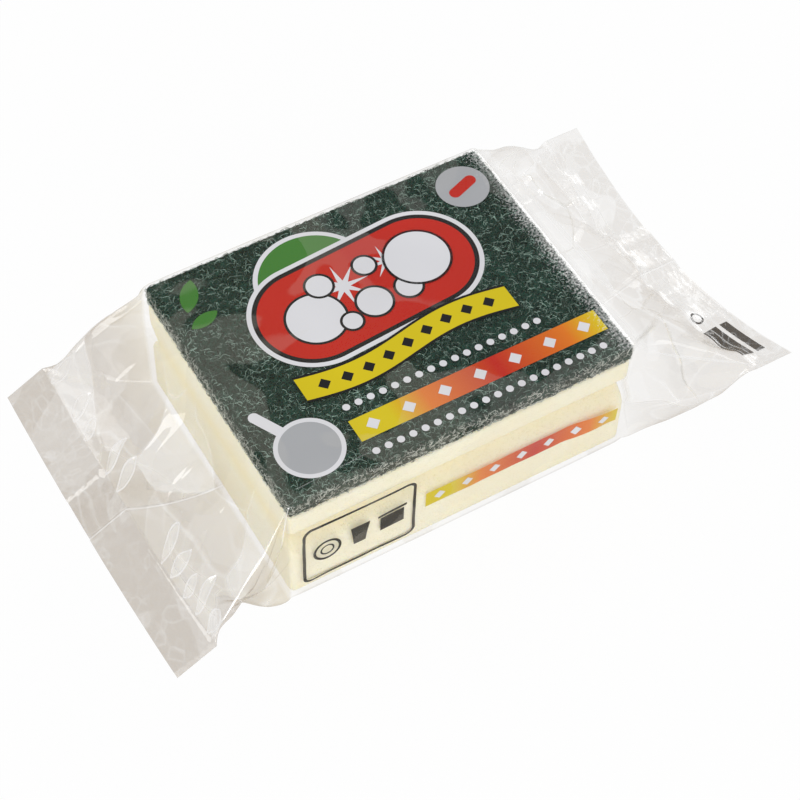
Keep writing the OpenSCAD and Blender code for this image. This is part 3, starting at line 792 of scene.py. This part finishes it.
def diamond(centre, side):
    """The closed outline of a square that stands on a corner."""
    half = side / math.sqrt(2)
    turn = np.linspace(0, 2 * np.pi, 5)
    return np.stack([centre[0] + half * np.cos(turn), centre[1] + half * np.sin(turn)], 1)


def star(centre, radius, points=8, inner=0.25):
    """The closed outline of a star."""
    turn = np.linspace(0, 2 * np.pi, 2 * points + 1)
    reach = np.where(np.arange(2 * points + 1) % 2, radius * inner, radius)
    return np.stack([centre[0] + reach * np.cos(turn), centre[1] + reach * np.sin(turn)], 1)


def strip(x0, x1, low, high, count=None):
    """Lower and upper edge of a band from x0 to x1; low and high are numbers or functions."""
    x = np.linspace(x0, x1, count or max(2, int(abs(x1 - x0) / 1.0)))
    edges = [np.stack([x, edge(x) if callable(edge) else edge + 0 * x], 1) for edge in (high, low)]
    return edges


def rounded_frame(centre, length, height, radius, grow):
    """The outline of a rounded rectangle, from its corners' centres."""
    corners = []
    for start, sx, sy in ((0, 1, 1), (90, -1, 1), (180, -1, -1), (270, 1, -1)):
        turn = np.radians(np.linspace(start, start + 90, 9))
        corners.append(np.stack([
            centre[0] + sx * (length / 2 - radius) + (radius + grow) * np.cos(turn),
            centre[1] + sy * (height / 2 - radius) + (radius + grow) * np.sin(turn)], 1))
    line = np.concatenate(corners + [corners[0][:1]])
    # Long sides are cut up, so that they follow the film.
    parts = []
    for p, q in zip(line[:-1], line[1:]):
        steps = max(1, int(np.linalg.norm(q - p) / 1.2))
        parts.append(p + (q - p) * np.arange(steps)[:, None] / steps)
    return np.concatenate(parts + [line[:1]])


# Below the film's middle, millimetres: the lowest ink, and the step from one level to the next.
INK_BOTTOM = -0.22
INK_STEP = 0.02


class Inks:
    """Collects flat patches for each ink and lays them on the film's inner face."""

    def __init__(self, web, colours):
        self.web, self.colours = web, colours
        self.patches = {}

    def band(self, ink, outer, inner, level, front=False, steps=None, tint=None):
        """Fills the strip between two lines, or between a line and a point, at a level of its own."""
        outer, inner = np.asarray(outer, float), np.asarray(inner, float)
        if inner.ndim == 1:
            inner = np.tile(inner, (len(outer), 1))
        width = np.linalg.norm(outer - inner, axis=1).max()
        steps = steps or max(1, int(math.ceil(width / 1.1)))
        share = np.linspace(0, 1, steps + 1)[:, None, None]
        flat = outer[None] * (1 - share) + inner[None] * share
        along, across = flat[..., 0], flat[..., 1]
        if front:
            across = -(FILM_Y + FILM_TOP - across)
        out = INK_BOTTOM + INK_STEP * level
        points = self.web.place(along, across, out)
        first, last = tint or (self.colours[ink],) * 2
        share = np.linspace(0, 1, len(outer))[None, :, None]
        shade = (np.array(first) * (1 - share) + np.array(last) * share).repeat(steps + 1, 0)
        self.patches.setdefault(ink, []).append((points, shade))

    def disc(self, ink, centre, radius, level, **more):
        """Fills a circle."""
        self.band(ink, circle(centre, radius), centre, level, **more)

    def build(self, material):
        """One mesh for each ink, with its colours in the attribute that the material reads."""
        made = {}
        for ink, patches in self.patches.items():
            points, shades, faces, count = [], [], [], 0
            for patch, shade in patches:
                faces.append(grid_faces(patch.shape[0], patch.shape[1], count))
                points.append(patch.reshape(-1, 3))
                shades.append(shade.reshape(-1, 3))
                count += patch.shape[0] * patch.shape[1]
            faces = np.concatenate(faces)
            points = np.concatenate(points) * MM
            # Every patch faces outward, away from the sponge.
            a, b, c = points[faces[:, 0]], points[faces[:, 1]], points[faces[:, 2]]
            d = points[faces[:, 3]]
            normal = np.cross(c - a, d - b)
            middle = (a + c) / 2 - np.array([0, 0, MIDDLE_Z * MM])
            middle[:, 0] *= 0.1
            inward = (normal * middle).sum(1) < 0
            faces[inward] = faces[inward][:, ::-1]
            made[ink] = add_mesh("ink_" + ink, points, faces, [material])
            shades = np.concatenate(shades)
            shades = np.concatenate([shades, np.ones((len(shades), 1))], 1)
            colour = made[ink].data.attributes.new("print", "FLOAT_COLOR", "POINT")
            colour.data.foreach_set("color", shades.ravel())
        return made


# ---------------------------------------------------------- user settings


class PadSettings(bpy.types.PropertyGroup):
    colour: FloatVectorProperty(
        name="Pad colour", description="Colour of the abrasive pad", subtype="COLOR",
        default=(0.012, 0.046, 0.032), min=0, max=1)
    light: FloatVectorProperty(
        name="Thread colour", description="Colour of the palest threads", subtype="COLOR",
        default=(0.40, 0.58, 0.49), min=0, max=1)
    fibres: IntProperty(
        name="Fibres", description="Fibres in each of the two layers", default=24000, min=0, max=24500)
    fibre_length: FloatProperty(
        name="Fibre length", description="Length of a loose fibre", default=2.3 * MM,
        subtype="DISTANCE", unit="LENGTH", min=MM)
    fibre_thickness: FloatProperty(
        name="Fibre width", description="Half the width of a loose fibre", default=0.047 * MM,
        subtype="DISTANCE", unit="LENGTH", min=0.01 * MM)


class FoamSettings(bpy.types.PropertyGroup):
    colour: FloatVectorProperty(
        name="Foam colour", description="Colour of the foam block", subtype="COLOR",
        default=(0.91, 0.86, 0.68), min=0, max=1)
    groove: FloatProperty(
        name="Grip depth", description="Depth of the grip along both long sides",
        default=5 * MM, subtype="DISTANCE", unit="LENGTH", min=0)


class FilmSettings(bpy.types.PropertyGroup):
    haze: FloatProperty(
        name="Haze", description="How much of the film shows where it is faced",
        default=0.14, subtype="FACTOR", min=0, max=1)
    gathers: IntProperty(
        name="Gathers", description="Puckers along the left seal", default=16, min=4)
    slack: FloatProperty(
        name="End slack", description="Spare length of film at both ends", default=0.05,
        subtype="FACTOR", min=0, max=0.2)
    roughness: FloatProperty(
        name="Crumple", description="Height of the first unevenness at the ends", default=0.9, min=0)
    stretch: FloatProperty(
        name="Stretch", description="Resistance of the film to stretching", default=40.0, min=1)
    bending: FloatProperty(
        name="Bending", description="Resistance of the film to bending", default=0.5, min=0)
    gravity: FloatProperty(
        name="Gravity", description="Share of gravity on the film", default=0.02, min=0)
    air: FloatProperty(
        name="Air", description="Pressure of the air shut in at the ends", default=7.0)
    frames: IntProperty(
        name="Frames", description="Length of the film's simulation", default=20, min=1, max=60)


class PrintSettings(bpy.types.PropertyGroup):
    red: FloatVectorProperty(
        name="Red", description="Red ink", subtype="COLOR", default=(0.53, 0.018, 0.009), min=0, max=1)
    orange: FloatVectorProperty(
        name="Orange", description="Orange ink", subtype="COLOR", default=(0.74, 0.18, 0.010), min=0, max=1)
    yellow: FloatVectorProperty(
        name="Yellow", description="Yellow ink", subtype="COLOR", default=(0.68, 0.54, 0.010), min=0, max=1)
    green: FloatVectorProperty(
        name="Green", description="Green ink", subtype="COLOR", default=(0.05, 0.20, 0.03), min=0, max=1)


class StageSettings(bpy.types.PropertyGroup):
    distance: FloatProperty(
        name="Camera distance", description="From the sponge's base to the camera",
        default=575 * MM, subtype="DISTANCE", unit="LENGTH", min=0.1)
    azimuth: FloatProperty(
        name="Azimuth", description="The camera's turn round the sponge",
        default=math.radians(-32.0), subtype="ANGLE", unit="ROTATION")
    elevation: FloatProperty(
        name="Elevation", description="The camera's height angle",
        default=math.radians(53.7), subtype="ANGLE", unit="ROTATION")
    roll: FloatProperty(
        name="Roll", description="The camera's tilt to one side",
        default=math.radians(2.2), subtype="ANGLE", unit="ROTATION")
    lens: FloatProperty(
        name="Lens", description="Focal length", default=95.1, subtype="DISTANCE_CAMERA", min=10)


# -------------------------------------------------------------- operators

# How far the camera's line passes beside and over the middle of the base, in millimetres.
CAMERA_ASIDE = 4.08
CAMERA_OVER = 3.26
# Lamps: name, place in metres, width and height in metres, and power in watts.
LAMPS = (
    ("left", (-0.75, 1.1, 0.22), 0.7, 0.5, 1.3),
    ("right", (1.05, 0.7, 0.55), 0.9, 0.8, 2.6),
    ("top", (-0.7, -0.1, 1.5), 0.5, 0.5, 2.5),
    ("front", (-0.4, -1.25, 0.6), 1.0, 0.8, 6.0),
)
# Strength of the white world on things, and for the camera.
WORLD_ON_THINGS = 0.72
WORLD_SEEN = 1.0
# How much of the floor is plain white to the camera.
FLOOR_WHITE = 0.94


class SPONGE_OT_foam(bpy.types.Operator):
    """Adds the cream foam block with its grips."""

    bl_idname = "sponge.foam"
    bl_label = "Foam block"

    def execute(self, context):
        props = context.scene.sponge_foam
        points, faces = rounded_block((-HALF_LENGTH, -HALF_WIDTH, REST_Z),
                                      (HALF_LENGTH, HALF_WIDTH, PAD_Z - 0.02), 1.6, 1.25)
        depth = props.groove / MM
        near = np.clip(np.abs(points[:, 2] - GROOVE_Z) / GROOVE_HALF, 0, 1)
        points[:, 1] *= 1 - depth / HALF_WIDTH * (0.5 + 0.5 * np.cos(np.pi * near))
        obj = add_mesh("foam", points * MM, faces, [foam_material(props.colour)])
        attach(obj, "root")
        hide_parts("foam_block")
        return {"FINISHED"}


def scatter_fibres(surface, name, material, props, seed):
    """Loose fibres over a surface's sides and top, as one mesh."""
    source = surface.copy()
    source.data = surface.data.copy()
    bpy.context.scene.collection.objects.link(source)
    area = sum(face.area for face in source.data.polygons)
    low = Vector((-HALF_LENGTH - 0.2, -HALF_WIDTH - 0.2, PAD_Z - 1.2)) * MM
    high = Vector((HALF_LENGTH + 0.2, HALF_WIDTH + 0.2, SPONGE_TOP + 0.05)) * MM
    tree = fibre_tree(material, low, high)
    modifier = source.modifiers.new("Fibres", "NODES")
    modifier.node_group = tree
    values = {"Density": props.fibres / area, "Length": props.fibre_length,
              "Thickness": props.fibre_thickness, "Seed": seed}
    for socket in tree.interface.items_tree:
        if socket.in_out == "INPUT" and socket.name in values:
            modifier[socket.identifier] = values[socket.name]
    bpy.context.view_layer.update()
    made = bpy.data.meshes.new_from_object(source.evaluated_get(bpy.context.evaluated_depsgraph_get()))
    bpy.data.objects.remove(source)
    made.name = name
    made.shade_smooth()
    fibres = bpy.data.objects.new(name, made)
    bpy.context.scene.collection.objects.link(fibres)
    return fibres


def fibre_tree(material, low, high):
    """Curved fibres scattered on a surface, kept inside a box, as thin ribbons with a tone each."""
    tree = bpy.data.node_groups.new("Loose fibres", "GeometryNodeTree")
    tree.interface.new_socket("Geometry", in_out="INPUT", socket_type="NodeSocketGeometry")
    for name in ("Density", "Length", "Thickness"):
        tree.interface.new_socket(name, in_out="INPUT", socket_type="NodeSocketFloat")
    tree.interface.new_socket("Seed", in_out="INPUT", socket_type="NodeSocketInt")
    tree.interface.new_socket("Geometry", in_out="OUTPUT", socket_type="NodeSocketGeometry")
    n = Nodes(tree)
    given = n.add("NodeGroupInput").outputs
    scatter = n.add("GeometryNodeDistributePointsOnFaces", {
        "Mesh": given["Geometry"], "Density": given["Density"], "Seed": given["Seed"]})
    curl = n.add("GeometryNodeCurveQuadraticBezier", {
        "Resolution": 4, "Start": (-0.5, 0, 0), "Middle": (0.0, 0.5, 0.02), "End": (0.5, 0.1, 0)})

    def chance(seed, low, high):
        node = n.add("FunctionNodeRandomValue", {"Seed": seed}, data_type="FLOAT")
        for socket in node.inputs:
            if socket.type == "VALUE" and socket.name in ("Min", "Max"):
                socket.default_value = low if socket.name == "Min" else high
        return [s for s in node.outputs if s.type == "VALUE"][0]

    spin = n.add("ShaderNodeCombineXYZ", {"Z": chance(7, 0.0, 2 * math.pi)})
    rotate = n.add("FunctionNodeRotateRotation", {"Rotation": scatter.outputs["Rotation"]},
                   rotation_space="LOCAL")
    n.feed(rotate.inputs["Rotate By"], spin.outputs[0])
    scale = n.multiply(chance(9, 0.55, 1.25), given["Length"])
    place = n.add("GeometryNodeInstanceOnPoints", {
        "Points": scatter.outputs["Points"], "Instance": curl.outputs[0],
        "Rotation": rotate.outputs[0], "Scale": scale})
    tone = n.add("GeometryNodeStoreNamedAttribute", {
        "Geometry": place.outputs[0], "Name": "tone", "Value": chance(5, 0.0, 1.0)},
        data_type="FLOAT", domain="INSTANCE")
    real = n.add("GeometryNodeRealizeInstances", {"Geometry": tone.outputs[0]})
    at = n.add("GeometryNodeInputPosition").outputs[0]
    wander = n.add("ShaderNodeTexNoise", {"Vector": at, "Scale": 900.0, "Detail": 2.0})
    shift = n.add("ShaderNodeVectorMath", operation="MULTIPLY_ADD")
    n.feed(shift.inputs[0], wander.outputs["Color"])
    shift.inputs[1].default_value = (2.4 * MM, 2.4 * MM, 1.2 * MM)
    shift.inputs[2].default_value = (-1.2 * MM, -1.2 * MM, -0.6 * MM)
    moved = n.add("ShaderNodeVectorMath", operation="ADD")
    n.feed(moved.inputs[0], at)
    n.feed(moved.inputs[1], shift.outputs[0])
    for operation, corner in (("MINIMUM", high), ("MAXIMUM", low)):
        limit = n.add("ShaderNodeVectorMath", operation=operation)
        n.feed(limit.inputs[0], moved.outputs[0])
        limit.inputs[1].default_value = corner
        moved = limit
    bent = n.add("GeometryNodeSetPosition", {"Geometry": real.outputs[0], "Position": moved.outputs[0]})
    half = n.multiply(given["Thickness"], 0.85)
    less = n.multiply(half, -1.0)
    profile = n.add("GeometryNodeCurvePrimitiveLine", {
        "Start": n.add("ShaderNodeCombineXYZ", {"X": less, "Y": less}).outputs[0],
        "End": n.add("ShaderNodeCombineXYZ", {"X": half, "Y": half}).outputs[0]})
    tube = n.add("GeometryNodeCurveToMesh", {"Curve": bent.outputs[0], "Profile Curve": profile.outputs[0]})
    last = n.add("GeometryNodeRealizeInstances", {"Geometry": tube.outputs[0]})
    paint = n.add("GeometryNodeSetMaterial", {"Geometry": last.outputs[0], "Material": material})
    n.feed(n.add("NodeGroupOutput").inputs[0], paint.outputs[0])
    return tree


PAD_LUMPS = 0.13


class SPONGE_OT_pad(bpy.types.Operator):
    """Adds the green abrasive pad and its loose fibres."""

    bl_idname = "sponge.pad"
    bl_label = "Scouring pad"

    def execute(self, context):
        props = context.scene.sponge_pad
        points, faces = rounded_block((-HALF_LENGTH, -HALF_WIDTH, PAD_Z),
                                      (HALF_LENGTH, HALF_WIDTH, SPONGE_TOP), 0.9, 0.9)
        lumps = np.random.default_rng(11).normal(0, PAD_LUMPS, len(points))
        out = points - np.array([0, 0, (PAD_Z + SPONGE_TOP) / 2])
        out = out / np.array([HALF_LENGTH, HALF_WIDTH, (SPONGE_TOP - PAD_Z) / 2])
        out = np.where(np.abs(out) >= np.abs(out).max(1, keepdims=True) - 1e-6, np.sign(out), 0)
        rough = points - out * np.abs(lumps)[:, None]
        rough = np.where(points[:, 2:3] < PAD_Z + 0.01, points, rough)
        obj = add_mesh("pad", rough * MM, faces, [pad_material(props.colour)])
        threads = thread_material(props.colour, props.light)
        pieces = [obj, scatter_fibres(obj, "pad_threads", threads, props, 7),
                  scatter_fibres(obj, "pad_fuzz", threads, props, 8)]
        for piece in pieces:
            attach(piece, "root")
        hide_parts("scouring_pad")
        return {"FINISHED"}


class SPONGE_OT_film(bpy.types.Operator):
    """Wraps the sponge in its film and lets the film settle."""

    bl_idname = "sponge.film"
    bl_label = "Film wrapper"

    def execute(self, context):
        props = context.scene.sponge_film
        placed, drawn, flat, held, seal, end, across = film_grid(props.slack, props.gathers)
        settled = settle_film(placed, drawn, held, end, props)
        rows, columns = settled.shape[:2]
        film_web["web"] = Web(settled, flat, across)
        faces = grid_faces(rows, columns)
        obj = add_mesh("film", settled.reshape(-1, 3) * MM, faces, [film_material(props.haze)])
        mesh = obj.data
        uv = mesh.uv_layers.new(name="web")
        corners = np.empty(len(mesh.loops), int)
        mesh.loops.foreach_get("vertex_index", corners)
        uv.data.foreach_set("uv", (flat.reshape(-1, 3)[corners, :2] * MM).ravel())
        for name, values in (("seal", seal), ("end", end)):
            mesh.attributes.new(name, "FLOAT", "POINT").data.foreach_set("value", values.ravel())
        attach(obj, "root")
        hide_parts("film_wrapper")
        obj.visible_shadow = False
        obj.visible_diffuse = False
        return {"FINISHED"}


class SPONGE_OT_print(bpy.types.Operator):
    """Lays the print on the film: badge, ribbon, stripes and small signs."""

    bl_idname = "sponge.print"
    bl_label = "Print"

    def execute(self, context):
        props = context.scene.sponge_print
        red, orange, yellow = tuple(props.red), tuple(props.orange), tuple(props.yellow)
        colours = {
            "black": (0.012, 0.012, 0.013), "white": (0.73, 0.73, 0.76), "grey": (0.40, 0.41, 0.43),
            "red": red, "orange": orange, "yellow": yellow, "green": tuple(props.green),
        }
        inks = Inks(film_web["web"], colours)
        line = 0.7
        # Badge, with a sun behind it and a ribbon under it.
        badge, turn, straight, height = (0.0, 11.0), 4.0, 16.6, 28.8
        sun = (-10.33, 19.7)
        inks.band("white", circle(sun, 16.3), circle(sun, 15.0), 0)
        inks.disc("green", sun, 15.0, 1)
        outline, middle = pill(badge, 62, height, turn, 0)
        for ink, inner in (("black", 0), ("white", 1.3)):
            inks.band(ink, *[pill(badge, 62, height, turn, grow)[0] for grow in (inner + 1.3, inner)], 3)
        inks.band("red", outline, middle, 3)
        for i, (x, y, r) in enumerate((
                (-1, -.06, .27), (-.62, .24, .12), (-.56, -.26, .09), (-.06, -.18, .16),
                        (.2, .22, .1), (.56, -.2, .12), (1, .04, .3))):
            centre = turned(np.array([x * straight, y * height]), badge, turn)
            level = 5 + i
            inks.disc("white", centre, r * height, level + 0.5)
            inks.band("black", circle(centre, r * height + line), circle(centre, r * height - 0.2), level)
        for x, y, r in ((-.3, .12, .26), (.54, .16, .2)):
            centre = turned(np.array([x * straight, y * height]), badge, turn)
            inks.band("white", star(centre, r * height), centre, 4)

        def wave(offset):
            return lambda x: -10 + 2 * np.sin(2 * np.pi * x / 62) + offset

        inks.band("yellow", *strip(-31, 31, wave(-4), wave(4)), 13)
        for edge in (-4, 4):
            inks.band("black", *strip(-31, 31, wave(edge - line / 2), wave(edge + line / 2)), 14)
        for i in range(-4, 5):
            x = i * 6.2
            inks.band("black", diamond((x, float(wave(0)(x))), 2.56), (x, float(wave(0)(x))), 14)
        # Token, leaves and pan in the corners.
        inks.disc("grey", (39.7, 28.7), 7.3, 2)
        inks.band("red", *pill((39.7, 28.7), 9.5, 3.3, 20), 4)
        for centre, size, turned_by in (((-41.5, 30.5), 11, 60), ((-41.5, 21.7), 8.8, 15)):
            self.leaf(inks, centre, size, turned_by)
        pan = (-37.3, -26.3)
        inks.disc("grey", pan, 9 - 1.2, 2)
        inks.band("white", circle(pan, 9), circle(pan, 7.8), 2)
        away = np.array([math.cos(math.radians(118)), math.sin(math.radians(118))])
        inks.band("white", *pill(tuple(np.array(pan) + away * 12), 12, 3, 118), 1)
        # Stripe with beads, and the stripe on the front.
        shades = ("yellow", "orange", "red", "red", "red", "orange", "yellow")
        deep = tuple((a + b) / 2 for a, b in zip(red, orange))
        edge = [yellow, yellow, orange, deep, red, deep, orange, yellow]
        for start, step, y, h, front in ((-25.3, 10.33, -27.5, 7, False), (-11.0, 8.286, 16.2, 6, True)):
            for i, ink in enumerate(shades):
                x = start + i * step
                inks.band(ink, *strip(x, x + step, y - h / 2, y + h / 2), 2, front, tint=edge[i:i + 2])
                inks.band("white", diamond((x + step / 2, y), h * .4), (x + step / 2, y), 4, front)
        for y, count in ((-35.0, 20), (-20.0, 17)):
            for i in range(count):
                inks.disc("white", (-25.3 + 3.5 * (i + .5), y), 1.0, 2)
        # Framed signs on the front.
        frame_at = (-30.5, 16.2)
        inks.band("black", *[rounded_frame(frame_at, 33, 24, 3, grow) for grow in (0, -.9)], 2, True)
        self.signs(inks, frame_at)
        # Register mark by the right seal.
        along = inks.web.along
        first = along[-9]
        for x0, x1 in ((first + 0.2, first + 4.2), (first + 5.4, first + 7.8)):
            inks.band("black", *strip(x0, x1, -36, -23), 3)
        inks.band("black", circle((first + 2.2, -18.5), 1.7, 32), circle((first + 2.2, -18.5), 1.2, 32), 3)
        for ink, obj in inks.build(ink_material()).items():
            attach(obj, "root")
            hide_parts("print_" + ink)
            obj.visible_shadow = False
        return {"FINISHED"}

    @staticmethod
    def leaf(inks, centre, size, degrees):
        """Two arcs that meet in two tips."""
        radius, offset = 0.67 * size, 0.45 * size
        tip = math.sqrt(radius * radius - offset * offset)
        y = np.linspace(-tip, tip, 17)
        half = np.sqrt(radius * radius - y * y) - offset
        sides = [turned(np.stack([way * half, y], 1), centre, degrees - 90) for way in (-1, 1)]
        inks.band("green", *sides, 2)

    @staticmethod
    def signs(inks, at):
        """A plate, a glass and a pot, in a row."""
        x, z = at
        plate = (x - 9.5, z)
        inks.band("black", circle(plate, 4), circle(plate, 3.2), 2, True)
        inks.band("black", circle(plate, 2), circle(plate, 1.5), 2, True)
        glass = [np.array([[x - half, z + up], [x + half, z + up]]) for half, up in ((2.8, 4), (1.7, -4))]
        inks.band("black", *glass, 2, True, 6)
        inks.band("black", *strip(x + 6, x + 13, z - 3.5, z + 2), 2, True)
        inks.band("black", *strip(x + 5.2, x + 13.8, z + 2.6, z + 3.6), 2, True)


class SPONGE_OT_stage(bpy.types.Operator):
    """Sets up the floor, the lamps, the world and the camera."""

    bl_idname = "sponge.stage"
    bl_label = "Stage"

    def execute(self, context):
        props = context.scene.sponge_stage
        scene = context.scene
        scene.view_settings.view_transform = "Standard"
        floor_finish, n, shader = new_material("White floor")
        shader.inputs["Base Color"].default_value = (0.9, 0.9, 0.9, 1)
        shader.inputs["Roughness"].default_value = 0.9
        shader.inputs["Specular IOR Level"].default_value = 0.0
        path = n.add("ShaderNodeLightPath").outputs["Is Camera Ray"]
        glow = n.add("ShaderNodeEmission", {"Strength": 1.0})
        lit = n.add("ShaderNodeMixShader", {"Fac": n.multiply(path, FLOOR_WHITE)})
        n.feed(lit.inputs[1], shader.outputs[0])
        n.feed(lit.inputs[2], glow.outputs[0])
        output = [x for x in floor_finish.node_tree.nodes if x.type == "OUTPUT_MATERIAL"][0]
        n.feed(output.inputs["Surface"], lit.outputs[0])
        floor = add_mesh("floor", [(-3, -3, -1e-4), (3, -3, -1e-4), (3, 3, -1e-4), (-3, 3, -1e-4)],
                         [(0, 1, 2, 3)], [floor_finish], smooth=False)
        world = bpy.data.worlds.new("Studio")
        world.use_nodes = True
        w = Nodes(world.node_tree)
        background = world.node_tree.nodes["Background"]
        rays = w.add("ShaderNodeLightPath").outputs
        level = w.grey(rays["Is Camera Ray"], 0.0, 1.0, WORLD_ON_THINGS, WORLD_SEEN)
        w.feed(background.inputs["Strength"], level)
        background.inputs["Color"].default_value = (1, 1, 1, 1)
        scene.world = world
        for name, place, width, height, power in LAMPS:
            data = bpy.data.lights.new(name, "AREA")
            data.shape, data.size, data.size_y, data.energy = "RECTANGLE", width, height, power
            lamp = bpy.data.objects.new("lamp_" + name, data)
            lamp.location = place
            lamp.rotation_euler = (Vector(place) - Vector((0, 0, 0.02))).to_track_quat("Z", "Y").to_euler()
            scene.collection.objects.link(lamp)
        az, el, roll = props.azimuth, props.elevation, props.roll
        back = Vector((math.sin(az) * math.cos(el), -math.cos(az) * math.cos(el), math.sin(el)))
        right = Vector((0, 0, 1)).cross(back).normalized()
        up = back.cross(right)
        across = math.cos(roll) * right + math.sin(roll) * up
        over = -math.sin(roll) * right + math.cos(roll) * up
        data = bpy.data.cameras.new("camera")
        data.lens = props.lens
        camera = bpy.data.objects.new("camera", data)
        scene.collection.objects.link(camera)
        place = back * props.distance + across * CAMERA_ASIDE * MM + over * CAMERA_OVER * MM
        camera.matrix_world = Matrix.Translation(place) @ Matrix((across, over, back)).transposed().to_4x4()
        scene.camera = camera
        return {"FINISHED"}


class SPONGE_PT_panel(bpy.types.Panel):
    """Lists the steps that build the wrapped sponge."""

    bl_idname = "SPONGE_PT_panel"
    bl_label = "Wrapped sponge"
    bl_space_type = "VIEW_3D"
    bl_region_type = "UI"
    bl_category = "Sponge"

    def draw(self, context):
        for operator in STEPS:
            self.layout.operator(operator.bl_idname)


STEPS = (SPONGE_OT_foam, SPONGE_OT_pad, SPONGE_OT_film, SPONGE_OT_print, SPONGE_OT_stage)
SETTINGS = {
    "sponge_pad": PadSettings, "sponge_foam": FoamSettings, "sponge_film": FilmSettings,
    "sponge_print": PrintSettings, "sponge_stage": StageSettings,
}


def register():
    for name, group in SETTINGS.items():
        bpy.utils.register_class(group)
        setattr(bpy.types.Scene, name, PointerProperty(type=group))
    for operator in STEPS:
        bpy.utils.register_class(operator)
    bpy.utils.register_class(SPONGE_PT_panel)


def unregister():
    bpy.utils.unregister_class(SPONGE_PT_panel)
    for operator in reversed(STEPS):
        bpy.utils.unregister_class(operator)
    for name, group in SETTINGS.items():
        delattr(bpy.types.Scene, name)
        bpy.utils.unregister_class(group)


def main():
    register()
    bpy.ops.sponge.foam()
    bpy.ops.sponge.pad()
    bpy.ops.sponge.film()
    bpy.ops.sponge.print()
    bpy.ops.sponge.stage()


if __name__ == "__main__":
    main()
